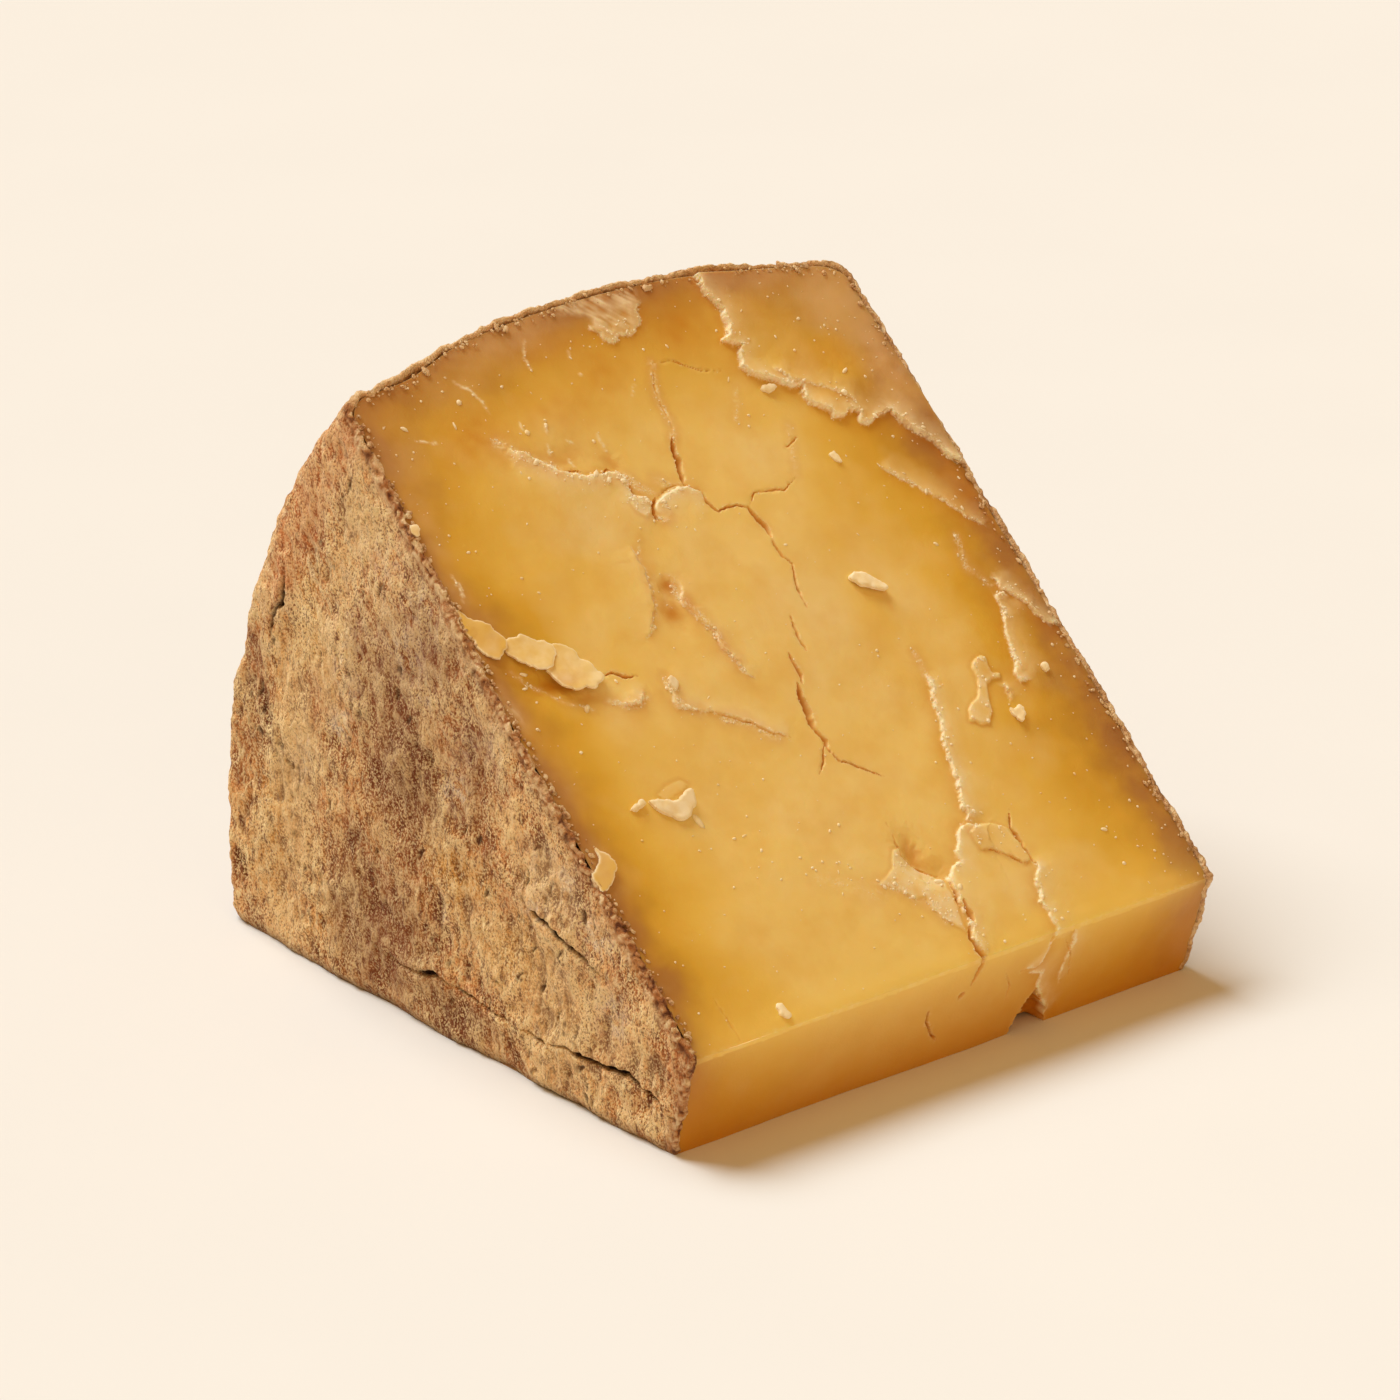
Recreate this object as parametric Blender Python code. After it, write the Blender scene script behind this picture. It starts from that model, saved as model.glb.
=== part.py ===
"""A wedge cut from a small aged comte wheel, lying on one of its cut sides.

Metres, +Z up. The wheel's axis ran along X, so the two flat rinds face left (-X) and right (+X), the barrel
rind faces back (+Y), the torn radial cut slopes up from front to back, and the small cut at the tip faces
front (-Y). The origin is the middle of the wedge's box, on the floor.
"""

import math
import random

import bmesh
import bpy
from mathutils import Vector, noise

NODE = "comte_wedge"
MM = 0.001

# The wheel, whose turned form gives the three rinds
WHEEL_HEIGHT = 104.5 * MM
SHOULDER_RADIUS = 124.6 * MM
SLOPE_LEAN = 1.6 * MM
BARREL_BULGE = 6.5 * MM
SHOULDER_WIDTH = 5.0 * MM
SHOULDER_DROP = 3.0 * MM
LEFT_BULGE = 2.8 * MM
RIGHT_BULGE = 1.4 * MM
BULGE_POWER = 2.6

# A dent where the slope meets the rim on the left: place across, width and depth
DENT_ACROSS = 13 * MM
DENT_WIDTH = 9 * MM
DENT_DEPTH = 1.8 * MM

# The three cuts, seen from the wheel's flat side: the floor, the slope through the axis, and the tip
AXIS_HEIGHT = 16.1 * MM
SLOPE_ANGLE = math.radians(42.4)
SLOPE_START = 2.6 * MM
TIP_FOOT = 6.9 * MM

# Where the middle of the box lies, from the left rind's shoulder and from the axis
MIDDLE_X = 51.6 * MM
MIDDLE_Y = 66.2 * MM

# Rows of faces across the wheel, from tip to rim, and from floor to slope
ROWS_ACROSS = 28
ROWS_ALONG = 27
ROWS_UP = 17
EDGE_CROWDING = 0.62

# Unevenness of the skin and of the torn paste
RIND_WAVE = 14 * MM
RIND_SWELL = 0.9 * MM
PASTE_WAVE = 26 * MM
PASTE_SWELL = 0.5 * MM
RIND_RIDGE = 0.7 * MM
RIND_RIDGE_WIDTH = 1.6 * MM

# How the cutters and the raised plates meet the surface
CLEARANCE = 1.4 * MM
PLATE_ROOT = 2.0 * MM
PLATE_SINK = 0.9 * MM
PLATE_MARGIN = 1.2 * MM
PLATE_LIMIT = 119.5 * MM
CRACK_STEP = 2.2 * MM
PLATE_STEP = 1.9 * MM
SEED = 5930

# Cracks in the slope: route in millimetres across and up the slope, width and depth
SLOPE_CRACKS = {
    "crack_top": (((57, 112), (56, 104), (54, 97), (52, 91)), 1.3, 4.0),
    "crack_elbow": (((51, 91), (54, 87), (57, 84), (61, 83)), 1.2, 3.2),
    "crack_branch": (((62, 85), (67, 85), (72, 86)), 0.8, 1.8),
    "crack_middle": (((61, 82), (62, 76), (62, 70), (61, 64)), 1.6, 4.5),
    "crack_short": (((57, 63.5), (56.6, 57)), 0.8, 2.0),
    "crack_low": (((53, 57), (51.5, 51), (50.7, 45), (50.6, 41)), 1.4, 4.0),
    "crack_fork": (((51.2, 38.6), (54, 36.5), (58, 33)), 0.7, 1.6),
    "crack_left": (((19, 63.5), (22, 62.5), (25, 61.7)), 0.9, 1.6),
    "crack_foot": (((58.6, 12.5), (56.6, 7), (56.0, 0.5)), 1.5, 3.5),
    "hollow": (((38.4, 84), (37.6, 77), (37.4, 71), (33, 64)), 3.6, 1.3),
    "valley": (((53, 26), (54.5, 20), (59, 14.5)), 4.0, 1.4),
}

# Torn plates on the slope: route of the torn edge, the way back to where the plate sinks in, and its height
SLOPE_PLATES = {
    "plate_corner": (
        ((76, 122), (75, 113), (75, 108), (81, 101), (87, 94), (96, 91.5), (102, 84)), (18, 17), 1.6
    ),
    "plate_torn": (((58.6, 124), (58, 121), (57.3, 115.5)), (-7, 2), 0.9),
    "plate_pocket": (((23, 103), (31, 98), (40, 95.5), (43, 88)), (-4, -9), 1.2),
    "plate_curl_a": (((1.5, 81), (4.5, 76.5), (4.5, 71.5)), (-4, -3), 1.3),
    "plate_curl_b": (((5, 70.5), (10, 65.5), (13, 62), (18, 62.5)), (4, 7.5), 1.5),
    "plate_bow": (((18.7, 58.6), (22, 57.6), (25.6, 59)), (1, 4.5), 1.0),
    "plate_rim_side": (((97.5, 61), (95.5, 53), (93.5, 46), (91.5, 41.5)), (6, 1.5), 1.1),
    "plate_tee": (((84, 46), (80, 39), (82, 35.5), (87.5, 35)), (4.5, 4.5), 1.1),
    "plate_long": (((74.5, 47.5), (71.5, 38), (69.8, 28), (68.4, 22)), (6.5, 0.5), 1.2),
    "plate_foot": (((65.5, 20.5), (60.5, 15.5), (58.6, 10), (57.4, 3)), (7, 3), 1.3),
    "plate_low": (((66.8, 18), (71.5, 13), (74, 8), (72.6, 2)), (7, 4), 1.0),
    "plate_smear": (((45, 17), (50, 13.5), (53.5, 8)), (-5, -5), 0.9),
}

# Loose flakes stuck to the slope: middle, length and width in millimetres, height and turn in degrees
SLOPE_FLAKES = {
    "flake_rice": ((73.8, 65.3), (6.8, 2.2), 1.1, -34),
    "flake_bone": ((18.6, 39.4), (6.4, 3.6), 1.2, 20),
    "flake_bone_tail": ((13.0, 41.4), (4.4, 1.8), 0.8, 12),
    "flake_drop": ((17.0, 4.0), (4.6, 1.6), 0.6, -50),
    "flake_curl_low": ((1.6, 33.0), (5.4, 2.0), 1.0, -64),
    "flake_curl_middle": ((2.0, 61.5), (4.2, 1.8), 0.8, -76),
}

# Cracks in the flat rinds, in millimetres back from the tip's foot and up from the floor
LEFT_CRACKS = {
    "rind_crack_upper": (((36, 31), (29, 28.8), (21, 26), (16, 24.4)), 1.1, 2.2),
    "rind_crack_lower": (((29, 8.8), (19, 9.2), (10, 10), (0.5, 7)), 1.1, 2.4),
    "rind_crack_floor": (((73, 9.5), (63, 9.4), (56, 10.6), (50, 9.2)), 1.3, 2.2),
    "rind_crack_flap": (((98.5, 67), (99, 61), (102, 56), (102.5, 52)), 1.2, 2.2),
}
RIGHT_CRACKS = {
    "rind_crack_right_low": (((62, 14), (50, 12.4), (41, 13.8)), 1.1, 2.2),
    "rind_crack_right_mid": (((86, 42), (80, 36), (77, 28)), 1.2, 2.4),
    "rind_crack_right_high": (((88, 76), (80, 72), (73, 71)), 1.0, 2.0),
}

# The chip out of the tip's lower edge: its outline in millimetres across and up the tip, and its depth
CHIP_OUTLINE = ((61.0, -1.0), (68.0, 3.2), (71.0, 7.6), (72.6, 5.0), (74.4, 1.2), (80.0, -1.0))
CHIP_DEPTH = 4.5 * MM
CHIP_SHRINK = 0.3

PASTE_COLOUR = (0.70, 0.37, 0.085, 1.0)
RIND_COLOUR = (0.48, 0.27, 0.12, 1.0)
PASTE_ROUGHNESS = 0.42
RIND_ROUGHNESS = 0.86


def clear_scene():
    for item in list(bpy.data.objects):
        bpy.data.objects.remove(item, do_unlink=True)


def collection_named(name):
    made = bpy.data.collections.new(name)
    bpy.context.scene.collection.children.link(made)
    return made


def material_of(name, colour, roughness):
    made = bpy.data.materials.new(name)
    made.use_nodes = True
    shader = made.node_tree.nodes["Principled BSDF"]
    shader.inputs["Base Color"].default_value = colour
    shader.inputs["Roughness"].default_value = roughness
    shader.inputs["Metallic"].default_value = 0.0
    return made


def rim_radius(across, up):
    """The barrel rind's distance from the axis, at shares of the wheel's height and of the way up to the slope."""
    off_middle = 2 * across - 1
    from_face = min(across, 1 - across) * WHEEL_HEIGHT
    rounding = max(0.0, 1 - from_face / SHOULDER_WIDTH)
    drop = SHOULDER_DROP * (1 - math.sqrt(1 - rounding**2))
    from_dent = (across * WHEEL_HEIGHT - DENT_ACROSS) / DENT_WIDTH
    lean = up**3 * (SLOPE_LEAN + DENT_DEPTH * math.exp(-(from_dent**2)))
    return SHOULDER_RADIUS + BARREL_BULGE * (1 - off_middle**2) - drop - lean


def section_point(along, up, radius):
    """Where a point lies seen from the wheel's flat side, back from the axis and up from the floor."""
    foot = Vector((TIP_FOOT, 0.0))
    brow = Vector((SLOPE_START * math.cos(SLOPE_ANGLE), AXIS_HEIGHT + SLOPE_START * math.sin(SLOPE_ANGLE)))
    tip = foot.lerp(brow, up)
    lowest = -math.asin(AXIS_HEIGHT / radius)
    angle = lowest + (SLOPE_ANGLE - lowest) * up
    rim = Vector((radius * math.cos(angle), AXIS_HEIGHT + radius * math.sin(angle)))
    return tip.lerp(rim, along)


def face_bulge(back, height, radius):
    """How far the wheel's flat faces stand out here, as a share of their bulge at the axis."""
    reach = min(1.0, math.hypot(back, height - AXIS_HEIGHT) / radius)
    return 1 - reach**BULGE_POWER


def swell(place, wave, amount, layer):
    """Smooth unevenness of the surface at a place, a different pattern for each layer."""
    return amount * noise.noise(place / wave + Vector((layer, layer * 0.37, 0.0)))


def wedge_point(across, along, up):
    """The place on the wedge of a point of the unit cube."""
    radius = rim_radius(across, up)
    back, height = section_point(along, up, radius)
    share = face_bulge(back, height, radius)
    left = -LEFT_BULGE * share
    right = WHEEL_HEIGHT + RIGHT_BULGE * share
    point = Vector((left + (right - left) * across, back, height))
    return point + unevenness(point, across, along, up)


def unevenness(point, across, along, up):
    """Moves each face along its own outward direction, and leaves the floor flat."""
    slope_out = Vector((0.0, -math.sin(SLOPE_ANGLE), math.cos(SLOPE_ANGLE)))
    outward = Vector((0.0, point.y, point.z - AXIS_HEIGHT)).normalized()
    moved = Vector((0.0, 0.0, 0.0))
    if across in (0.0, 1.0):
        side = 2 * across - 1
        moved.x += side * swell(point, RIND_WAVE, RIND_SWELL, 3 + across)
    if along == 1.0:
        moved += outward * swell(point, RIND_WAVE, RIND_SWELL, 7)
    if along == 0.0:
        moved.y -= swell(point, PASTE_WAVE, PASTE_SWELL, 11)
    if up == 1.0:
        from_rind = min(across, 1 - across) * WHEEL_HEIGHT / RIND_RIDGE_WIDTH
        ridge = RIND_RIDGE * math.exp(-(from_rind**2))
        moved += slope_out * (swell(point, PASTE_WAVE, PASTE_SWELL, 15) + ridge)
    if up == 0.0:
        moved.z = 0.0
    return moved


def crowded(share):
    """Draws rows towards both ends, where the shoulders are round."""
    return share - EDGE_CROWDING * math.sin(2 * math.pi * share) / (2 * math.pi)


def on_origin(point):
    return Vector((point.x - MIDDLE_X, point.y - MIDDLE_Y, point.z))


def wedge_body(materials, collection):
    """A cube, divided into rows and drawn out to the wedge, with rind on three of its six faces."""
    bm = bmesh.new()
    bmesh.ops.create_cube(bm, size=1.0)
    for axis, rows in enumerate((ROWS_ACROSS, ROWS_ALONG, ROWS_UP)):
        parallel = [e for e in bm.edges if abs(e.verts[0].co[axis] - e.verts[1].co[axis]) > 0.5]
        bmesh.ops.subdivide_edges(bm, edges=parallel, cuts=rows - 1, use_grid_fill=True)
    for face in bm.faces:
        middle = face.calc_center_median()
        on_rind = abs(middle.x) > 0.4999 or middle.y > 0.4999
        face.material_index = 1 if on_rind else 0
    for vert in bm.verts:
        across, along, up = (round(value + 0.5, 6) for value in vert.co)
        vert.co = on_origin(wedge_point(crowded(across), along, up))
    mesh = bpy.data.meshes.new(NODE)
    bm.to_mesh(mesh)
    bm.free()
    for material in materials:
        mesh.materials.append(material)
    body = bpy.data.objects.new(NODE, mesh)
    collection.objects.link(body)
    return body


def slope_place(across, up, height):
    """A point over the slope: across it, up it from its lower edge, and out from it."""
    reach = SLOPE_START + up
    back = reach * math.cos(SLOPE_ANGLE) - height * math.sin(SLOPE_ANGLE)
    rise = AXIS_HEIGHT + reach * math.sin(SLOPE_ANGLE) + height * math.cos(SLOPE_ANGLE)
    return on_origin(Vector((across, back, rise)))


def rind_place(side):
    """The same for a flat rind, side -1 on the left and 1 on the right: back, up and out."""

    def place(from_foot, up, height):
        back = TIP_FOOT + from_foot
        share = face_bulge(back, up, SHOULDER_RADIUS)
        if side < 0:
            across = -LEFT_BULGE * share - height
        else:
            across = WHEEL_HEIGHT + RIGHT_BULGE * share + height
        return on_origin(Vector((across, back, up)))

    return place


def stations(route, step):
    """Points a step apart along a route in millimetres, each with its sideways direction and share of the way."""
    corners = [Vector(corner) * MM for corner in route]
    lengths = [(b - a).length for a, b in zip(corners, corners[1:])]
    total = sum(lengths)
    count = max(3, round(total / step))
    for index in range(count + 1):
        share = index / count
        left = share * total
        leg = 0
        while leg < len(lengths) - 1 and left > lengths[leg]:
            left -= lengths[leg]
            leg += 1
        heading = (corners[leg + 1] - corners[leg]).normalized()
        sideways = Vector((-heading.y, heading.x))
        yield corners[leg] + heading * left, sideways, share


def loft(name, sections, collection):
    """A closed solid through sections that each have the same number of points."""
    bm = bmesh.new()
    rings = [[bm.verts.new(point) for point in section] for section in sections]
    size = len(rings[0])
    for ring, following in zip(rings, rings[1:]):
        for corner in range(size):
            beside = (corner + 1) % size
            bm.faces.new((ring[corner], ring[beside], following[beside], following[corner]))
    bm.faces.new(rings[0][::-1])
    bm.faces.new(rings[-1])
    bmesh.ops.recalc_face_normals(bm, faces=bm.faces)
    return object_of(name, bm, collection)


def object_of(name, bm, collection):
    mesh = bpy.data.meshes.new(name)
    bm.to_mesh(mesh)
    bm.free()
    made = bpy.data.objects.new(name, mesh)
    collection.objects.link(made)
    made.hide_render = True
    made.display_type = "WIRE"
    return made


def crack(name, place, spec, collection):
    """A V-shaped groove along a jagged route, closing to nothing at both ends."""
    route, width, depth = spec
    draw = random.Random(f"{SEED} {name}")
    sections = []
    for point, sideways, share in stations(route, CRACK_STEP):
        opening = max(0.15, math.sin(math.pi * share)) ** 0.6
        half = width * MM / 2 * opening * draw.uniform(0.7, 1.25)
        deep = depth * MM * opening * draw.uniform(0.85, 1.1)
        middle = point + sideways * draw.uniform(-0.45, 0.45) * min(width, 1.5) * MM
        top = half * (1 + CLEARANCE / deep)
        left = middle - sideways * top
        right = middle + sideways * top
        keel = place(middle.x, middle.y, -deep)
        sections.append([place(left.x, left.y, CLEARANCE), keel, place(right.x, right.y, CLEARANCE)])
    return loft(name, sections, collection)


def plate(name, place, spec, collection):
    """A torn plate: high along its jagged edge, and sinking into the surface behind it."""
    route, back, height = spec
    draw = random.Random(f"{SEED} {name}")
    way_back = Vector(back) * MM
    sections = []
    for point, _, share in stations(route, PLATE_STEP):
        taper = min(1.0, 5 * share + 0.25, 5 * (1 - share) + 0.25)
        rise = height * MM * taper * draw.uniform(0.75, 1.15)
        front = point + way_back.normalized() * draw.uniform(-0.8, 0.8) * MM
        rear = within_slope(point + way_back * draw.uniform(0.85, 1.15))
        sections.append(
            [
                place(front.x, front.y, rise),
                place(front.x, front.y, -PLATE_ROOT),
                place(rear.x, rear.y, -PLATE_ROOT),
                place(rear.x, rear.y, -PLATE_SINK),
            ]
        )
    return loft(name, sections, collection)


def within_slope(point):
    """Keeps a plate's hidden edge clear of the rinds."""
    across = min(max(point.x, PLATE_MARGIN), WHEEL_HEIGHT - PLATE_MARGIN)
    return Vector((across, min(point.y, PLATE_LIMIT)))


def flake(name, spec, collection):
    """A small rounded crumb, half sunk in the slope."""
    (across, up), (length, width), height, turn = spec
    angle = math.radians(turn)
    bm = bmesh.new()
    bmesh.ops.create_icosphere(bm, subdivisions=2, radius=1.0)
    for vert in bm.verts:
        x = vert.co.x * length / 2
        y = vert.co.y * width / 2
        along = across + x * math.cos(angle) - y * math.sin(angle)
        beside = up + x * math.sin(angle) + y * math.cos(angle)
        vert.co = slope_place(along * MM, beside * MM, vert.co.z * height * MM)
    return object_of(name, bm, collection)


def chip(collection):
    """A notch out of the tip's lower edge, open to the front and the floor and narrowing inwards."""
    middle = sum(across for across, _ in CHIP_OUTLINE) / len(CHIP_OUTLINE)
    sections = []
    for back, share in ((-TIP_FOOT, 1.0), (TIP_FOOT, 1.0), (TIP_FOOT + CHIP_DEPTH, CHIP_SHRINK)):
        section = []
        for across, up in CHIP_OUTLINE:
            x = middle + (across - middle) * share
            section.append(on_origin(Vector((x * MM, back, up * share * MM))))
        sections.append(section)
    return loft("tip_chip", sections, collection)


def apply_boolean(body, operation, others):
    modifier = body.modifiers.new(f"{operation.lower()}_{others.name}", "BOOLEAN")
    modifier.operand_type = "COLLECTION"
    modifier.collection = others
    modifier.operation = operation
    bpy.context.view_layer.objects.active = body
    bpy.ops.object.modifier_apply(modifier=modifier.name)


def cut(body, cutter):
    modifier = body.modifiers.new(f"cut_{cutter.name}", "BOOLEAN")
    modifier.object = cutter
    modifier.operation = "DIFFERENCE"


def build():
    clear_scene()
    paste = material_of("paste", PASTE_COLOUR, PASTE_ROUGHNESS)
    rind = material_of("rind", RIND_COLOUR, RIND_ROUGHNESS)
    part = collection_named("comte_cheese")
    raised = collection_named("raised")
    cutters = collection_named("cutters")

    body = wedge_body((paste, rind), part)
    for name, spec in SLOPE_PLATES.items():
        plate(name, slope_place, spec, raised)
    for name, spec in SLOPE_FLAKES.items():
        flake(name, spec, raised)
    apply_boolean(body, "UNION", raised)
    for helper in list(raised.objects):
        bpy.data.objects.remove(helper, do_unlink=True)
    bpy.data.collections.remove(raised)

    for name, spec in SLOPE_CRACKS.items():
        cut(body, crack(name, slope_place, spec, cutters))
    for name, spec in LEFT_CRACKS.items():
        cut(body, crack(name, rind_place(-1), spec, cutters))
    for name, spec in RIGHT_CRACKS.items():
        cut(body, crack(name, rind_place(1), spec, cutters))
    cut(body, chip(cutters))


build()
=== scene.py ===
"""The finished comte wedge: torn golden paste, grey-brown rind, loose flakes and crumbs.

Lengths are worked out in millimetres, with across, back and up measured from the wheel's left shoulder,
its axis and the floor, as in the part's source. They turn to metres about the part's origin when a mesh
is made.
"""

import itertools
import math

import bmesh
import bpy
import numpy as np
from mathutils import Matrix, Vector, noise


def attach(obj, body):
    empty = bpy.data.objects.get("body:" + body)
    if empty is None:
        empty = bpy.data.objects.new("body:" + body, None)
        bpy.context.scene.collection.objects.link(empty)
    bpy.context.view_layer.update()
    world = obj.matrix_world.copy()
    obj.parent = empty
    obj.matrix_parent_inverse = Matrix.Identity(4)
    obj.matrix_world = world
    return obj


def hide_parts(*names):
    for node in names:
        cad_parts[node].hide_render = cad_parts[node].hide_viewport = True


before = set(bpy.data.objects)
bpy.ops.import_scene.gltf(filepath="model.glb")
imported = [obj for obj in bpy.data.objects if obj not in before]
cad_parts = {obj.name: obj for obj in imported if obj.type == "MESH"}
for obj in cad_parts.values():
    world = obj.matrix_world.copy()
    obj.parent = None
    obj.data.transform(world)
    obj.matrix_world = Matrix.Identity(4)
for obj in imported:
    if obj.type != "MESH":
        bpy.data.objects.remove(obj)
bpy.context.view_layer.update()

NODE = "comte_wedge"
BODY = "root"
SEED = 5930
MM = 0.001

# The wheel and the three cuts, with the values of the part's source
WHEEL_HEIGHT = 104.5
SHOULDER_RADIUS = 124.6
SLOPE_LEAN = 1.6
BARREL_BULGE = 6.5
SHOULDER_WIDTH = 5.0
SHOULDER_DROP = 3.0
LEFT_BULGE = 2.8
RIGHT_BULGE = 1.4
BULGE_POWER = 2.6
DENT_ACROSS = 13.0
DENT_WIDTH = 9.0
DENT_DEPTH = 1.8
AXIS_HEIGHT = 16.1
SLOPE_ANGLE = math.radians(42.4)
SLOPE_START = 2.6
TIP_FOOT = 6.9
PART_MIDDLE = np.array([51.6, 66.2, 0.0])

# Slow unevenness of each side, as in the part's source: the size of its waves, how far they go, and a layer
SWELLS = {
    "left": (14.0, 0.9, 3),
    "right": (14.0, 0.9, 4),
    "rim": (14.0, 0.9, 7),
    "tip": (26.0, 0.5, 11),
    "slope": (26.0, 0.5, 15),
}

FOOT = np.array([TIP_FOOT, 0.0])
SLOPE_WAY = np.array([math.cos(SLOPE_ANGLE), math.sin(SLOPE_ANGLE)])
BROW = np.array([0.0, AXIS_HEIGHT]) + SLOPE_START * SLOPE_WAY
TIP_WAY = (BROW - FOOT) / np.linalg.norm(BROW - FOOT)
TIP_HEIGHT = float(np.linalg.norm(BROW - FOOT))
SLOPE_OUT = np.array([0.0, -SLOPE_WAY[1], SLOPE_WAY[0]])
TIP_OUT = np.array([0.0, -TIP_WAY[1], TIP_WAY[0]])
FLOOR_OUT = np.array([0.0, 0.0, -1.0])

# Fineness of the meshes, and the most faces that one of them keeps
PASTE_STEP = 0.24
RIND_STEP = 0.42
CHIP_STEP = 0.16
FLOOR_COLUMNS = 18
REAR_COLUMNS = 16
MOST_FACES = 190000
PASTE_CREASE = math.radians(48)
CHIP_CREASE = math.radians(50)

# Lengths over the wedge's sides, for the number of steps
SLOPE_LENGTH = 122.0
FACE_LENGTH = 121.0
SHOULDER_LENGTH = 6.6
RIM_HEIGHT = 100.0

# The paste under the rind, with its hidden ends drawn in towards a place well inside them
PASTE_INSET = 1.0
HIDDEN_INSET = 4.0
END_MIDDLE = (0.5, 0.62, 0.33)
END_SIZE = 0.9

# How far the edge between slope and tip is worn down
BROW_WEAR = 0.16

# Rows of rind folded over the cut faces and the floor: their distances from the edge, how far over the slope
# the rind reaches by the share of the way round it, and how deep its last rows go
BAND_ROWS = np.arange(1, 12) * 0.26
BAND_REACH = ((0, 0.34, 0.4, 0.62, 0.7, 1), (1.5, 1.4, 0.8, 0.8, 1.1, 1.3))
FLOOR_ROWS = (0.5, 1.0, 1.6)
FLOOR_TUCK = 0.8
BAND_DIVE = 2.2

# Steps of an edge that its direction is worked out over
EDGE_WINDOW = 9

# Loose crumbs: how many, where on the slope they may lie, the three rinds' shares, and their sizes
CRUMB_COUNT = 1700
CRUMB_TRIES = 40000
CRUMBS_FROM = (1.8, 0.6)
CRUMBS_TO = (102.5, 120.5)
RIND_CRUMB_COUNT = 520
RIND_CRUMB_SIDES = (0.42, 0.34, 0.24)
CRUMB_RADIUS = 0.12
RIND_CRUMB_RADIUS = 0.2
RIND_CRUMB_LIFT = 0.2
RADIUS_SPREAD = 0.45
SPECK_RADII = (0.12, 0.32)

# Plain pale floor
FLOOR_LIGHT = (234, 232, 230)
FLOOR_DEEP = (231, 229, 227)
FLOOR_SIZE = 12.0

# The camera, fitted to the corners of the piece, with the photograph's width and focus in its pixels
CAMERA_TURN = math.radians(40.1)
CAMERA_RISE = math.radians(22.3)
CAMERA_DISTANCE = 1.2
CAMERA_AIM = (0.9, -9.3, 40.0)
CAMERA_SLIDE = (-5.6, 4.8)
SENSOR = 36.0
PHOTO_WIDTH = 1400
PHOTO_FOCUS = 7503
LENS = SENSOR * PHOTO_FOCUS / PHOTO_WIDTH
FARTHEST = 50.0

# Light: a broad key from behind on the left and a warm fill from the front, each with its strength, its
# colour, the way it comes from and its width, and the room
SUNS = {
    "key": (3.05, (0.89, 0.97, 1.0), (-0.19, 0.62, 1.0), math.radians(36)),
    "fill": (0.54, (1.0, 0.66, 0.30), (-0.35, -1.0, 0.75), math.radians(80)),
}
ROOM_COLOUR = (1.0, 0.63, 0.27, 1.0)
ROOM_STRENGTH = 0.38

# Light through the surface: its share, its reach in millimetres, and how much of that each colour goes
PASTE_GLOW = (0.35, 2.0, (1.0, 0.55, 0.25))
CHIP_GLOW = (0.12, 0.6, (1.0, 0.75, 0.5))
RIND_GLOW = (0.08, 1.2, (1.0, 0.5, 0.25))

# The paste's colour by share of a depth under the rind, and the rind's by its noise, as a screen shows them
PASTE_DEPTH = 40.0
PASTE_COLOURS = (
    (0.0, (170, 114, 58)), (0.07, (182, 126, 58)), (0.13, (202, 149, 48)), (0.22, (225, 175, 57)),
    (0.38, (238, 195, 86)), (0.62, (245, 210, 122)), (1.0, (246, 212, 126)),
)
RIND_COLOURS = (
    (0.34, (164, 94, 50)), (0.45, (222, 144, 82)), (0.55, (250, 182, 112)), (0.67, (255, 210, 146)),
)

# Colours laid over these where a mark says so: the mark, its range, the most laid on, and the colour
PASTE_LAYERS = (
    # painted highlight: a bright golden strip along the brow
    ("rubbed", 0.0, 1.0, 0.8, (255, 218, 112)),
    ("blush", 0.0, 1.0, 0.62, (186, 128, 72)),
    # painted shade: the tip deeper and darker towards its foot
    ("foot", 0.0, 1.0, 0.85, (212, 140, 8)),
    # deep golden colour, and painted shade in cracks, hollows and below torn edges
    ("amber", 0.05, 1.0, 0.96, (208, 128, 14)),
    ("haze", 0.0, 1.0, 0.66, (224, 178, 120)),
)
RIND_PATCHES = (
    ("shade", 0.0, 1.2, 0.8, (255, 214, 152)),
    ("shade", 0.0, -1.2, 0.72, (118, 60, 32)),
    ("ochre", 0.1, 1.0, 0.75, (230, 168, 78)),
    ("stain", 0.1, 1.0, 0.9, (114, 66, 38)),
    ("shoulder", 0.1, 0.8, 0.75, (214, 126, 66)),
    ("rust", 0.1, 1.0, 0.66, (198, 112, 60)),
)
# Painted highlight on the rind's higher relief, and painted shade in its hollows
RIND_RELIEF = (
    ("raised", 0.12, 0.7, 0.8, (255, 218, 158)),
    ("raised", -0.05, -0.8, 0.9, (122, 66, 36)),
)
RIND_LAYERS = (
    ("shade", 0.0, -1.2, 0.42, (136, 70, 38)),
    ("shade", 0.2, 1.3, 0.45, (255, 212, 152)),
    ("rust", 0.1, 1.0, 0.14, (214, 118, 64)),
    ("shoulder", 0.1, 0.8, 0.2, (236, 144, 84)),
    # painted contact shadow along the floor
    ("foot", 0.3, 1.0, 0.6, (112, 78, 50)),
    ("pits", 0.1, 0.9, 0.85, (82, 48, 28)),
    ("cracks", 0.1, 0.8, 1.0, (58, 34, 20)),
)

# The lean of the pale streaks high on the left rind
STREAK_LEAN = math.radians(-40)

# How every traced line wobbles: the wobble's size, its shift and its layer of noise, and the size of bits
# that the line then breaks round
WOBBLES = ((3.4, 0.3, 1), (1.3, 0.15, 3), (0.6, 0.06, 7))
BIT_SIZE = 0.8

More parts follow.
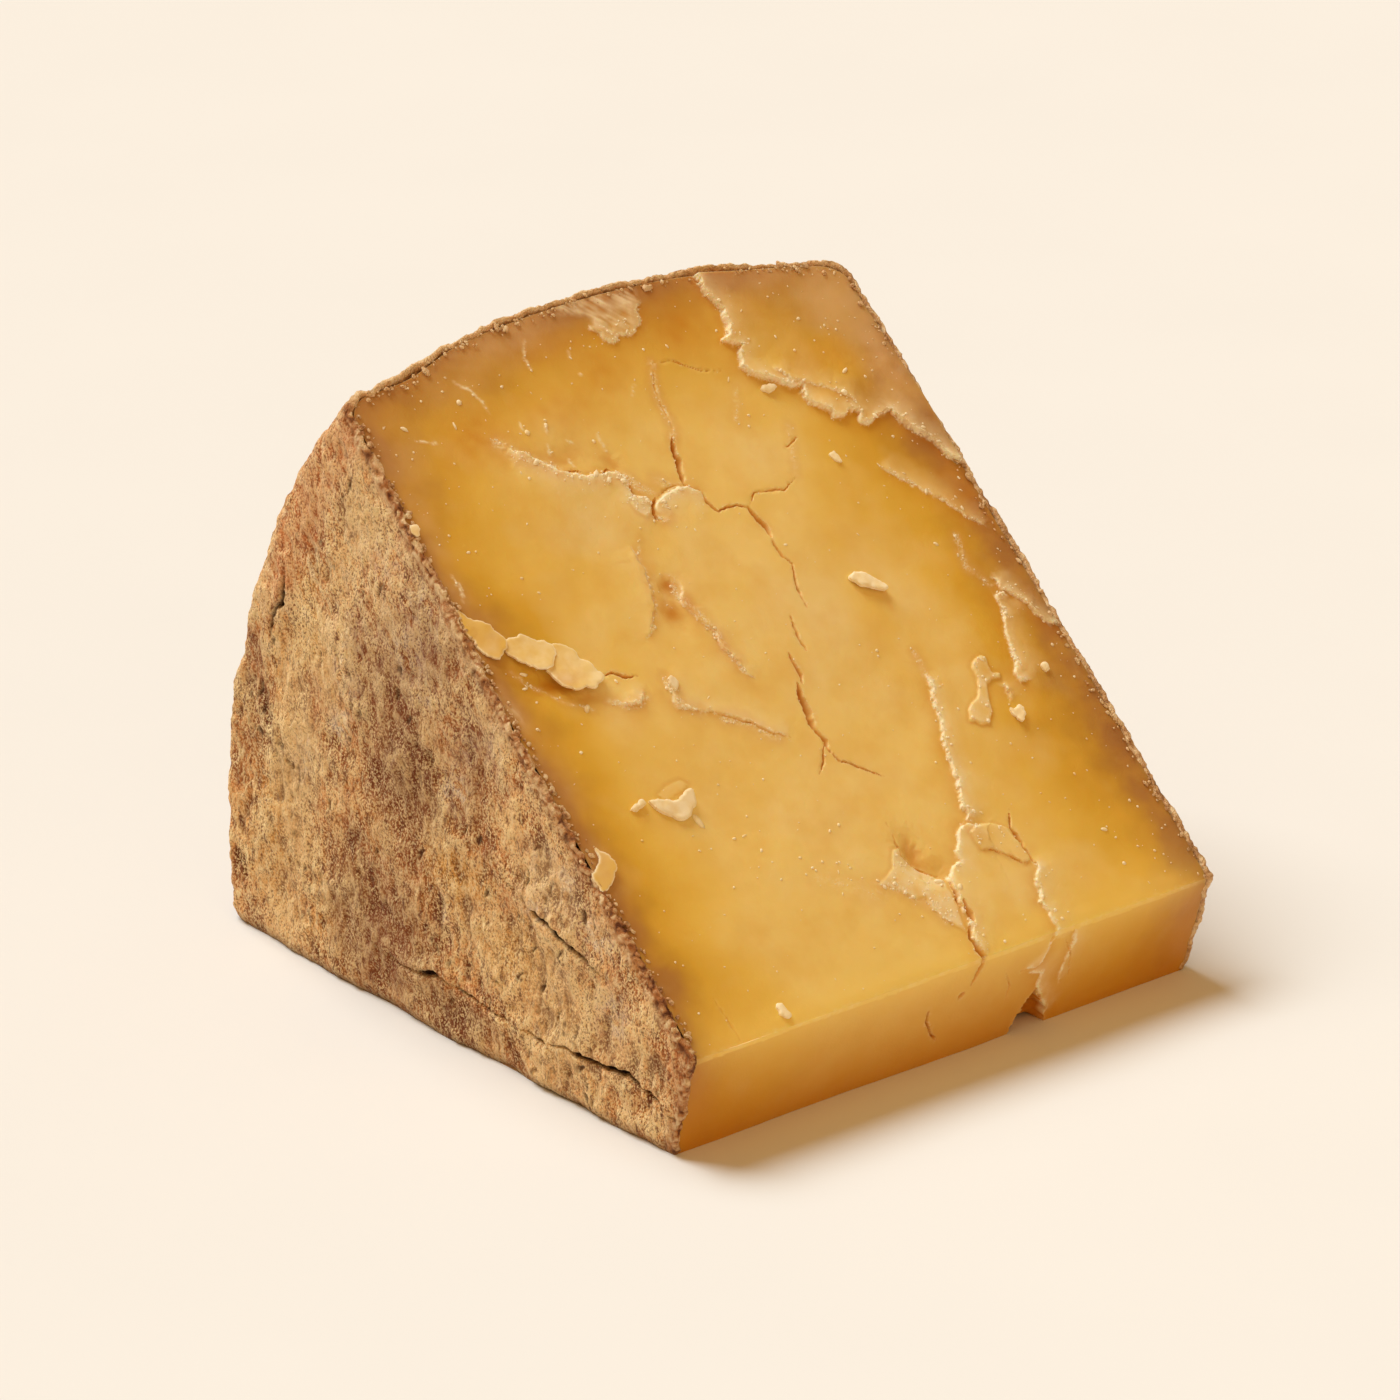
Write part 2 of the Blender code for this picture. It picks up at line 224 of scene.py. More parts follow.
# Cracks in the slope: route across and up the slope, width and depth
SLOPE_CRACKS = {
    "top": (((58.5, 112.1), (56.6, 108.1), (56, 105.4), (55.7, 102.5), (55.3, 99.8), (53.6, 97.4)), 0.35,
        0.4),
    "top_open": (((54.6, 98.6), (53.4, 96.2), (53.3, 94.5), (52.4, 92.6), (51.8, 90.2)), 1.15, 2.4),
    "top_arm": (((58.5, 112.1), (62.3, 111.4), (66.3, 108.4), (70.6, 106.9)), 0.35, 0.45),
    "elbow": (((52.2, 90.2), (53.7, 88.3), (53.9, 86.2), (55.1, 84.3), (56.8, 84.7), (58.9, 84.5),
        (60.8, 82.9)), 0.5, 1),
    "branch": (((60.9, 83.4), (63.1, 85.5), (67.4, 84.9), (69, 84.5), (71.9, 85.8)), 0.45, 0.7),
    "middle_open": (((60.6, 83.4), (61, 81.2), (61.6, 78.6), (61.7, 77.2)), 1.2, 2.2),
    "middle": (((61.7, 78), (61.3, 75.7), (61.6, 73.4), (62.6, 71.9), (61.9, 69.9), (61.2, 67.5),
        (61, 64.2)), 0.5, 0.9),
    "short": (((57.3, 64.1), (56.5, 61.4), (56.3, 59.3), (56.7, 57.2)), 0.45, 0.9),
    "third": (((53.2, 57.7), (53, 55.9), (53, 54), (52.5, 52.3)), 0.7, 1.4),
    "low_open": (((51.6, 52.6), (51, 50), (50.6, 47), (50.4, 44.4), (50.7, 42.6)), 1.5, 2.6),
    "low": (((50.6, 43.6), (50.9, 42), (50.6, 40.4)), 0.7, 1.2),
    "fork_left": (((50.6, 42), (48.6, 39.2), (46.5, 37.1)), 0.4, 0.8),
    "fork_right": (((50.6, 41.6), (51.4, 38.2), (52.8, 37.5), (57.9, 33.3)), 0.45, 1),
    "left": (((18.6, 63.4), (20.5, 63.6), (21.9, 62.6), (23.4, 61.9), (24.5, 61.9)), 0.6, 1.3),
    "foot_thin": (((58.7, 13.9), (58.2, 11.4), (57.5, 9)), 0.45, 1),
    "foot_open": (((58.7, 10), (58.3, 8), (58.2, 6)), 1, 1.5),
    "foot": (((57.4, 5.6), (56.5, 3.6), (56.7, 1.5), (57.3, 0.2), (56.6, -1.6)), 1.1, 1.9),
    "diagonal": (((76.4, 21.7), (74.9, 18.6), (75.1, 15.8), (75, 13.4), (75.1, 10.8)), 0.5, 1.1),
    "layer": (((66.9, 16.8), (69.2, 15.8), (71.6, 14.2), (73.4, 12.3), (74.7, 12.3)), 0.4, 0.7),
    "low_line": (((33.5, 52.6), (37.8, 50.2), (40.6, 47.7), (42.4, 45.9), (45.4, 44.4)), 0.4, 0.5),
    "valley": (((53.1, 26.1), (53.1, 23.2), (53.2, 20.3), (54.2, 18.1), (55.8, 16.2), (58.6, 14.3)), 0.45,
        0.6),
    "side_hole": (((73.6, 91.4), (75.3, 91.9), (77.2, 92.6)), 0.45, 0.6),
    "scratch": (((6.9, 8.4), (7.6, -0.4)), 0.4, 0.3),
    "pocket_crack": (((31.3, 97.9), (33.3, 97.7), (35, 97)), 0.5, 0.9),
    "pocket_notch": (((38.2, 95.9), (40, 96.7), (40.4, 95.5)), 0.6, 1),
    "pocket_end": (((41.9, 92.9), (41.6, 91.3), (42.3, 89.9)), 0.8, 1.3),
    "knee_crack": (((45.3, 89.6), (44.1, 88.3), (43.4, 87.2), (43.5, 85.6)), 0.8, 1.4),
    "knee_top": (((45.7, 89.6), (47.5, 90.2), (49.8, 90.6), (51.9, 90.6)), 0.35, 0.5),
}

# Torn plates on the slope: route of the torn edge, way back to where it sinks in, height and width of lip
SLOPE_PLATES = {
    "corner": (((74.8, 129), (75.1, 124), (74.9, 120.6), (75.6, 119.1), (76.4, 117.5), (75.5, 116.1),
        (75.6, 114.7), (75, 113.2), (73.1, 112), (74.6, 111.1), (76.1, 110.5), (74.8, 109.2), (73.7, 107.1),
        (74.8, 105.6), (77.1, 104), (79.5, 102.6), (81.4, 101), (83.2, 100.9), (82.2, 98.8), (82.9, 97.6),
        (85.4, 95.6), (85.4, 93.9), (87.8, 93.6), (89.4, 94.4), (90.4, 93.3), (89.9, 91.7), (91.4, 91.1),
        (93.5, 92.1), (96.6, 92.3), (97.4, 90), (98.8, 87.6), (101.1, 85.3), (102.3, 82.6), (105.4, 79),
        (112, 72)), (22, 21), 1.15, 0.8),
    "corner_layer": (((79.2, 106), (79.5, 104.9), (80.8, 104.1), (81.3, 102.2), (83.1, 101.6),
        (85.2, 100.6), (87.2, 99), (88.6, 98), (90.4, 96), (91.4, 94.4)), (7, 8), 0.35, 0.45),
    "pocket": (((23.9, 105.4), (24.5, 103.8), (26.7, 102.6), (28.4, 100.6), (30.6, 98.3), (33, 97.1),
        (35.4, 96.2), (38, 95.8), (41.2, 95.4), (42.1, 92.9), (41.4, 90.7), (43.4, 89.9), (44.3, 88.7),
        (43.8, 86.9)), (-7, -15), 0.75, 1.3),
    "knee": (((43.6, 87.2), (45, 88.7), (47.7, 89.6), (50.2, 90.1), (52.2, 90), (53.6, 88.6), (54.1, 86.4)),
        (-2, -12), 0.5, 1.2),
    "hollow_left": (((36.2, 83), (36, 79.8), (36, 78.1), (35.5, 75.6), (34.6, 73.5), (33.3, 71),
        (31.4, 68.2), (29.1, 66.5)), (-9, 1), 0.4, 0.2),
    "hollow_right": (((41, 75.6), (40.7, 73), (39.5, 71.9), (39.7, 69.9), (41, 67.1), (42.4, 65.2),
        (41.9, 62.1), (42.8, 59.9), (43.2, 57.7), (45.2, 54.6)), (9, 4), 0.4, 0.25),
    "bow": (((18.5, 58.6), (20, 57.8), (22, 57.4), (23.9, 58.3), (25, 59.2)), (1, 6), 0.6, 0.6),
    "spur": (((28.6, 59.9), (28.7, 58.5), (28.9, 57.2), (28.1, 56), (28.4, 54.6), (30.6, 54.1),
        (33.5, 52.6), (37.8, 50.2), (40.6, 47.7), (42.4, 45.9), (45.4, 44.4)), (8, 8), 0.25, 0.5),
    "rim_side": (((98.8, 55.6), (97.4, 57), (95.9, 56.6), (95.8, 54.3), (95.9, 53.2), (94.9, 51.8),
        (93.8, 50.2), (93.9, 48.8), (93.3, 47.3), (93.2, 45), (92.5, 43.8), (91.2, 42.5), (91.5, 41.2),
        (94.5, 41.1)), (8, 2), 0.65, 0.8),
    "rim_side_far": (((97, 60.4), (98, 58.9), (97.8, 57.5), (99, 56.1), (100, 54.8), (101.1, 53.6),
        (101.6, 51.6), (103, 49.3), (105.4, 48.5), (110, 46)), (7, 3), 0.6, 0.6),
    "side_high": (((88.4, 84.4), (92.5, 79.6), (96.6, 75.4), (99.4, 71.4), (102.6, 68.2)), (6, 4), 0.3,
        0.4),
    "tee_ridge": (((86.7, 42.5), (88.2, 41.3), (88.2, 39.4), (87.5, 37.6)), (4, 1), 0.5, 0.4),
    "long": (((75.5, 47.8), (74.9, 44.6), (73.7, 42.1), (73.2, 39), (71.2, 35.2), (70.7, 31.6),
        (69.6, 28.2), (68.5, 25.7), (67.9, 24.3), (68.6, 23), (67.6, 22), (68.4, 21)), (10, 1), 0.55, 0.9),
    "foot": (((70, 20.6), (68.4, 21), (66.2, 21.7), (64.6, 20.6), (64, 19.2), (62.5, 17.8), (62.3, 16),
        (60.3, 15.3), (58.7, 14.3), (58.4, 12), (57.8, 9.2), (57.9, 6.6), (57.2, 4.6), (56.9, 1),
        (57.6, -0.8)), (11, 5), 0.7, 0.9),
    "low": (((74.7, 12.7), (75.1, 10.8), (73.4, 9), (73.3, 7.4), (72, 5.2), (73, 3.8), (72.4, 1.9),
        (72.5, -1), (74, -1.4)), (9, 2), 0.5, 0.8),
    "fan": (((63, 123), (60.8, 121.2), (60.7, 119.3), (58.6, 118.3), (57.1, 117.2), (55.5, 118),
        (53.6, 116.9), (52.2, 118), (52.2, 119.4), (50.7, 120.4), (51.2, 121.8)), (-4, 8), 0.5, 0.6),
}

# Flat flakes that still lie in the slope: outline, height, paleness inside and at the edge
SLOPE_FLAKES = {
    "chip_layer": (((66.6, 20), (69.8, 20.8), (71.2, 20.3), (74.1, 18.7), (74.5, 16.5), (74.8, 13.8),
        (74.6, 12.5), (73.4, 12.1), (72.2, 13.5), (70.7, 14.5), (69.2, 15.8), (66.9, 16.8), (66.5, 18.4)),
        0.3, 0.15, 0.5),
    "veil": (((45.6, 16.7), (48.4, 15.6), (49.2, 14), (51, 12.7), (52.7, 12.2), (52.6, 9.9), (53.8, 8),
        (55.4, 6), (56.4, 4.4), (57.2, 9.4), (57.9, 13.7), (56.1, 16.1), (54, 18.8), (53.3, 21.6),
        (51.9, 21.5), (49.5, 18.4)), 0.14, 0.6, 0.3),
    "tee": (((85.6, 47.2), (86.9, 47.6), (87.6, 46.9), (87.2, 45.5), (87.4, 44.2), (88.6, 43.8),
        (88.4, 42.9), (86.5, 43.2), (85.2, 42.6), (84.4, 40.9), (83.4, 38.1), (81.6, 36.1), (80.1, 36.4),
        (79.6, 37.3), (78.3, 37.6), (79.1, 39.3), (80.5, 40.3), (82.1, 40.9), (83.3, 42.3), (83.9, 44.2),
        (84.2, 46)), 0.34, 0.5, 0.6),
    "pale_lip": (((40, 89.6), (41.2, 90.5), (43.3, 90), (43.8, 89), (43.2, 87.6), (41.6, 86.6),
        (40.4, 88.2)), 0.12, 0.75, 0.3),
    "cloudy": (((16.6, 42.2), (19.2, 43.2), (21.6, 43.4), (22.8, 42.2), (21.6, 41.7), (19.8, 41.6),
        (17.8, 40.9)), 0.05, 0.18, 0.25),
}

# The torn fan under the rim: its outline and the way that its fibres lie
FAN_OUTLINE = (
    (44.6, 127.2), (54.6, 126.7), (63.5, 125.6), (62.8, 123.1), (60.8, 121.2), (60.7, 119.3), (58.6, 118.3),
    (57.1, 117.2), (55.5, 118), (53.6, 116.9), (52.2, 118), (52.2, 119.4), (50.7, 120.4), (51.2, 121.8),
    (49.1, 123.1), (46.6, 123.8), (44.9, 125)
)
FAN_WAY = math.radians(-50)
FRAY_OUTLINE = (
    (-2, 67.1), (-0.3, 66.4), (-0.2, 64.2), (1.5, 63.4), (1.8, 61.4), (1.2, 59.4), (0.7, 58), (0.1, 59.2),
    (0, 61), (-0.9, 61.9), (-1.1, 63.5)
)
FRAY_WAY = math.radians(-75)

# Soft dips in the slope: middle, half widths and depth
SLOPE_DIPS = {
    "hollow": ((38.6, 74.2), (2.4, 3), 0.5),
    "hollow_low": ((36.8, 69.4), (3.6, 3.6), 0.35),
    "valley": ((54.9, 19.4), (2.4, 4.4), 1.2),
    "valley_foot": ((57.6, 15.4), (2.2, 2.2), 0.8),
    "pocket_floor": ((33, 100.8), (8, 3.2), 0.45),
    "pocket_corner": ((41, 97.6), (2.4, 2.4), 0.4),
    "under_plates": ((9, 65.4), (6.5, 2.6), 0.7),
}

# Trails of crystals and crumbled paste: route, half width and strength
SLOPE_TRAILS = {
    "top": (((58.5, 112.1), (56.6, 108.1), (56, 105.4), (55.7, 102.5), (55.3, 99.8), (54.4, 98)), 0.55,
        0.95),
    "hollow_left": (((38.2, 83.5), (36.2, 80), (36, 78), (35.5, 75.6), (34.6, 73.5)), 0.35, 0.6),
    "hollow_crystals": (((35.7, 77), (35.7, 75.7), (35.2, 74.5)), 0.6, 0.8),
    "hollow_side": (((35, 74), (34.2, 72), (33.6, 70.4)), 0.5, 0.6),
    "hollow_right": (((40.6, 75.2), (39.6, 73.6), (40, 71.4), (40.9, 69.5), (41.6, 67), (42, 65.4),
        (42.4, 63.4), (42.4, 61.2), (43, 59.4)), 0.8, 0.65),
    "hollow_top": (((36.6, 76.6), (38.6, 76.8), (40.6, 76)), 0.5, 0.35),
    "hollow_bit": (((37.4, 73.4), (37.1, 71.4)), 0.4, 0.5),
    "pocket_lip": (((23.6, 104.6), (25.4, 102.6), (27.4, 101.2), (29.4, 99.4), (31.8, 97.2), (35, 95.4),
        (38.4, 95)), 0.6, 0.6),
    "pocket_white": (((22.8, 105.6), (24.5, 103.6), (26.3, 102), (28.3, 100.6), (30.6, 98.6)), 1, 0.9),
    "pocket_far": (((42.4, 94.6), (43.4, 91.8), (45.2, 90.6)), 0.8, 0.8),
    "elbow": (((47.4, 92.4), (48.8, 90.8), (50.8, 90.2)), 0.8, 0.8),
    "elbow_low": (((43.6, 86.6), (44.6, 85.6), (45.6, 86.2)), 0.6, 1),
    "bow": (((17.6, 59.4), (19.6, 57.6), (22, 57), (24, 58)), 0.5, 0.9),
    "spur": (((29, 59.8), (29.4, 57.8), (28.8, 55.8), (29.8, 54.4), (31.6, 53.4)), 0.7, 1),
    "line": (((35.6, 51), (38.4, 49.6), (40.8, 46.6), (42.8, 44.8)), 0.7, 0.8),
    "under_plates": (((4, 68.6), (5.4, 66.6), (7.4, 64.8), (9.6, 61.8), (11.4, 60.2), (13.7, 58.8)), 0.35,
        0.8),
    "corner_foot": (((71, 104), (69.5, 101), (67.6, 98.4)), 0.6, 0.4),
    "branch_top": (((72.4, 86.6), (74.8, 90.6), (76.6, 95)), 0.5, 0.5),
    "veil_edge": (((46, 16.8), (48.8, 15.4), (50.8, 13), (52.8, 11.6), (54, 8)), 0.8, 0.7),
    "foot_pale": (((36, 21), (41, 17.6), (45, 15.5)), 1.4, 0.35),
    "side": (((95.6, 68.4), (93.8, 62.6), (96.4, 58.4)), 0.6, 0.7),
    "long_top": (((75.8, 51.6), (75.6, 49.4), (75.2, 47)), 0.5, 0.8),
}

# Routes of short pale scratches
SLOPE_STREAKS = (
    ((21.3, 117.9), (23.6, 116), (24.5, 113.4), (24.6, 110.9)),
    ((9.3, 110.1), (10.6, 109.2), (12.7, 108.4)), ((28.9, 108.1), (28.3, 106.7)),
    ((33.3, 106.9), (32.5, 104.6)), ((31.5, 103.6), (30.8, 101.5)), ((35.4, 103.3), (36.4, 102.2)),
    ((41.4, 103), (41.6, 101), (41.5, 99.1)), ((34, 100), (34.1, 98.2)), ((53.3, 109.4), (51.5, 107.3)),
    ((44.7, 118.1), (44.3, 116.3)), ((44.2, 113.8), (44.5, 112.9)),
    ((38.5, 122), (36.8, 119.2), (36.4, 116.4)), ((2.7, 87), (2.6, 85.3), (2.6, 83.6), (2.3, 82)),
    ((3, 85.8), (3.1, 84.2), (2.9, 82.6))
)

# Milky places along the rinds: middle, half widths and strength
HAZY_PLACES = (
    ((99, 115), (9, 9), 0.9), ((93, 121), (9, 4), 0.7), ((31, 122.5), (13, 4.5), 0.9),
    ((40, 124), (9, 3), 0.8), ((21, 117.5), (8, 5), 0.45), ((5, 108), (6, 9), 0.5),
    ((2.5, 96), (3.5, 9), 0.7), ((80, 120), (5, 6), 0.5), ((2, 84), (3, 6), 0.6),
    ((0.4, 63), (2.4, 4.4), 1.1), ((0.2, 33.6), (2.6, 4.2), 1.2), ((2.5, 76), (3.4, 5), 0.7),
    ((2, 50), (3, 8), 0.35), ((101, 104), (5, 14), 0.9)
)

# Darker golden places of the paste, painted shade where they lie in dips: middle, half widths and strength
AMBER_PLACES = (
    ((38.6, 74.4), (2.2, 2.2), 1), ((37, 70.6), (2.8, 3.6), 0.85), ((43, 58.7), (1, 1.2), 0.8),
    ((55, 19.2), (1.9, 3.4), 0.85), ((33, 100.4), (7, 2.4), 0.45), ((41, 97.4), (1.6, 1.6), 0.8),
    ((9.5, 64.6), (5, 2), 0.75), ((14, 60.6), (3, 1.2), 0.5), ((27, 57.4), (2, 2.2), 0.35),
    ((67, 116), (7, 6), 0.55), ((49, 113), (7, 5), 0.45), ((89, 105), (8, 4), 0.3),
    ((102, 76), (6, 9), 0.45), ((20, 107), (8, 6), 0.6), ((37, 109), (11, 5), 0.4),
    ((40.4, 70.4), (1.7, 3.4), 0.8), ((42.2, 62.6), (1.4, 4), 0.8), ((35.2, 76), (1, 2.6), 0.6),
    ((43, 119), (10, 3.5), 0.35)
)

# Paler places of the slope: middle, half widths and strength
PALE_PLACES = (
    ((47, 77), (13, 10), 0.45), ((62, 62), (16, 20), 0.6), ((33, 88), (10, 6), 0.5),
    ((46, 30), (18, 12), 0.42), ((70, 8), (20, 7), 0.6), ((66, 92), (10, 9), 0.4),
    ((80, 58), (10, 36), 0.6), ((17, 68), (6, 18), 0.45), ((99, 114), (8, 9), 0.9)
)

# Cracks and holes in the tip: route across and up the tip, width and depth
TIP_CRACKS = {
    "hole": (((57.2, 19), (57.2, 17.2), (56.4, 15.2), (55.4, 13.6)), 1, 1.3),
    "bend": (((47, 11.6), (47.1, 9.2), (48.6, 6.4), (49.8, 4.4)), 0.6, 1.4),
    "dots": (((54.2, 12.6), (53.2, 11.4)), 0.7, 0.8),
    "nick": (((66, 12.6), (67.6, 12.4)), 0.4, 0.5),
    "side": (((73, 18.4), (71.6, 16.2)), 0.5, 0.6),
    "line": (((74.9, 16.9), (77.2, 12), (78, 7.9)), 0.35, 0.5),
    "slit": (((63.2, 13.4), (64.6, 10.2), (64.2, 7)), 0.4, 0.5),
}
TIP_PLATES = {
    "flap": (((67.6, 12.2), (69.4, 11), (71, 10.4), (71, 7.7), (72.2, 5.4), (73.9, 3), (74.2, 0.4)), (6, 4),
        0.4, 0.9),
    "layer": (((72.4, 17.6), (71.6, 15.2), (70.6, 12.8), (68.4, 12.4), (66.2, 13)), (5, 4), 0.3, 0.7),
    "upper": (((76.4, 19.6), (77.2, 14.6), (75.6, 10.4), (76, 6.4)), (4, 1), 0.25, 0.5),
}
CHIP_OUTLINE = (
    (66, -1), (67.5, 2.2), (69.4, 5.6), (70.9, 7.7), (71.3, 6.2), (72.2, 5.4), (72.5, 4.3), (73.9, 3),
    (74, 1.2), (74.6, -1)
)
CHIP_DEPTH = 3.2
CHIP_SLOPE = 2.2

# Cracks in the flat rinds: route back from the tip's foot and up from the floor, width and depth
LEFT_CRACKS = {
    "upper": (((35.5, 31.4), (34.6, 30), (29.2, 29), (25, 27.5), (20.7, 26), (16.3, 24.4)), 1.3, 2.4),
    "lower_back": (((35.8, 8.8), (31.6, 8.3), (27.7, 7.6)), 0.7, 1.2),
    "lower": (((28.7, 8.9), (23.7, 9.6), (18.4, 9.2), (13.5, 9.7), (10.6, 10.1), (7.5, 8.8), (3.7, 8.2),
        (-1.1, 6.2)), 1.1, 2.1),
    "floor": (((73.4, 9.5), (66.7, 8.9), (62.8, 9.2), (57.2, 10.8), (54.4, 9.8), (50.1, 9.4), (45.8, 9.2),
        (41.1, 8.8), (36.8, 8.6)), 0.7, 1.2),
    "floor_notch": (((63.4, 9.3), (60.4, 9.8), (57.6, 10.6), (55.6, 10.4)), 1.5, 2),
    "ridge": (((60.6, 18.8), (58.3, 15.2), (56.4, 11.6)), 0.6, 0.5),
    "small": (((43.5, 15.2), (41.6, 14.9), (40.2, 13.9)), 0.6, 0.9),
    "line": (((83.3, 37.3), (81.6, 35.8), (79.5, 33.5)), 0.4, 0.5),
    "flap": (((98.2, 67.6), (98.5, 60.9), (100.4, 59.1), (102.4, 55.8), (102.7, 52.4)), 1.1, 2.4),
    "thin_high": (((63, 52), (60, 47), (57.5, 43), (54, 41)), 0.5, 0.5),
    "thin_back": (((84, 60), (82, 54), (78, 49)), 0.5, 0.6),
    "wrinkle": (((43.5, 35.5), (40.3, 33), (37.6, 31.6)), 0.7, 0.8),
    "wrinkle_low": (((46.8, 22.4), (44.2, 20), (42.4, 18.8)), 0.5, 0.7),
}
RIGHT_CRACKS = {
    "low": (((62, 14), (55, 12.2), (50, 12.4), (46, 13.6), (41, 13.8)), 0.9, 1.5),
    "middle": (((86, 42), (83, 38), (80, 36), (78.4, 32), (77, 28)), 0.9, 1.6),
    "high": (((88, 76), (84, 73), (80, 72), (77, 72.2), (73, 71)), 0.8, 1.4),
}

# Patches of the left rind: middle, half widths and strength, back from the tip's foot and up from the floor
LEFT_STAINS = (
    ((65, 43), (9, 11), 1.1), ((69, 56), (4, 5), 0.7), ((82, 20), (10, 11), 0.7), ((82, 87), (4, 8), 0.8),
    ((104, 39), (3, 6), 1.3), ((99, 33), (4, 5), 0.8), ((53, 5), (11, 5), 1), ((41, 6), (7, 4), 0.6),
    ((77, 50), (6, 6), 0.6), ((92, 46), (3, 12), 0.4), ((48, 66), (3, 6), 0.5), ((24, 14), (5, 5), 0.4)
)
LEFT_BLOOMS = (
    ((66, 62), (5, 5), 1.2), ((60, 56.5), (3.6, 3), 1.2), ((84, 44.6), (2.6, 3.4), 1.2),
    ((80, 57), (5, 9), 0.8), ((53, 44), (3, 4), 1), ((50, 51), (3, 4), 0.8), ((43, 54), (3, 6), 0.8),
    ((71, 76), (9, 8), 0.6), ((32, 31), (5, 4), 0.9), ((24, 36), (4, 5), 0.9), ((18, 30), (4, 4), 0.9),
    ((31, 37), (5, 6), 0.8), ((15, 19), (5, 5), 0.8), ((56, 21), (2, 5), 1), ((28, 23), (3, 4), 0.8),
    ((93, 38), (4, 7), 0.7), ((62, 70), (6, 6), 0.7)
)
LEFT_OCHRES = (
    ((53, 29), (8, 8), 1.1), ((37, 20), (8, 7), 1), ((104, 20), (8, 16), 0.8), ((91, 60), (3.5, 14), 1),
    ((27, 13), (9, 6), 0.6), ((100, 52), (5, 10), 0.7), ((90, 8), (12, 7), 0.5)
)
LEFT_RUSTS = (
    ((-3, 15), (4, 6), 1.3), ((83, 94), (7, 5), 1), ((91, 81), (4, 10), 1), ((98, 68), (3.5, 9), 1.2),
    ((103, 58), (3, 6), 0.8), ((90, 47), (2, 5), 0.9), ((40, 30), (6, 4), 0.4)
)

# The marks made of these patches, and how strong each is on the rim and the right rind
RIND_MARKS = (
    ("stain", LEFT_STAINS, 0.8),
    ("bloom", LEFT_BLOOMS, 0.5),
    ("ochre", LEFT_OCHRES, 0.8),
    ("rust", LEFT_RUSTS, 0.8),
)

# Where the left rind is rough: middle and half widths
ROUGH_PLACE = ((22, 18), (24, 16))

# Broad darker and lighter parts of the left rind
LEFT_SHADES = (
    ((67, 46), (12, 22), -1), ((58, 65), (8, 7), -0.9), ((47, 48), (6, 14), -0.8),
    ((74, 10), (15, 10), -1.3), ((68, 18), (8, 8), -0.5), ((76, 60), (7, 7), -0.5), ((-4, 2), (4, 6), -1.1),
    ((50, 5), (10, 5), -0.6), ((106, 42), (6, 12), -0.6), ((90, 73), (5, 9), -0.5),
    ((97, 32), (7, 24), 1.2), ((86, 54), (5, 9), 1.1), ((77, 82), (6, 7), 1.2), ((84, 70), (7, 6), 0.6),
    ((30, 20), (16, 11), 0.8), ((27, 7), (9, 8), 0.9), ((30, 36), (10, 6), 0.9), ((50, 22), (9, 7), 0.6),
    ((100, 4), (10, 8), 0.6), ((9, 12), (9, 5), 0.6)
)

# Long dark pits of the left rind: back from the tip's foot and up from the floor
LEFT_PITS = (
    (106.3, 43.1), (104.8, 40.5), (106, 36.3), (99.1, 35.7), (96.5, 33.4), (94.8, 31), (93.2, 29.6),
    (68.1, 54.8), (79.5, 49.1), (77.2, 48.8), (79.9, 54.8), (88.2, 54.8), (81.6, 42.5), (101.4, 53.1),
    (77.2, 68.7), (64.4, 51.7), (36.3, 27), (32.6, 26.4), (33.7, 23.2), (31.3, 17.4), (26.9, 14.3),
    (20.9, 32.8), (18.2, 32.7), (25.7, 30.6), (22.5, 13), (21.1, 7.4), (20.1, 5.3), (19.9, 2.5),
    (4.4, 11.5), (7, 19.8), (39.1, 5.2), (44.6, 9.7), (45.2, 28.4), (46.6, 37.3), (32.9, 40.3),
    (34.5, 35.1), (26.5, 24.3), (36.5, 17.5), (28.4, 35.3), (14.4, 19), (54.4, 71.2), (48.3, 64.9),
    (46.1, 63.1), (62.4, 69.3), (67.2, 59.1), (67.6, 54.9), (84, 90), (80, 86.5), (82, 83.5), (72, 71),
    (58, 47), (50, 38), (86, 30), (74, 26), (62, 30)
)

# Loose chips of paste are at least as golden as paste this deep under the rind
FLAKE_DEPTH = 14.0

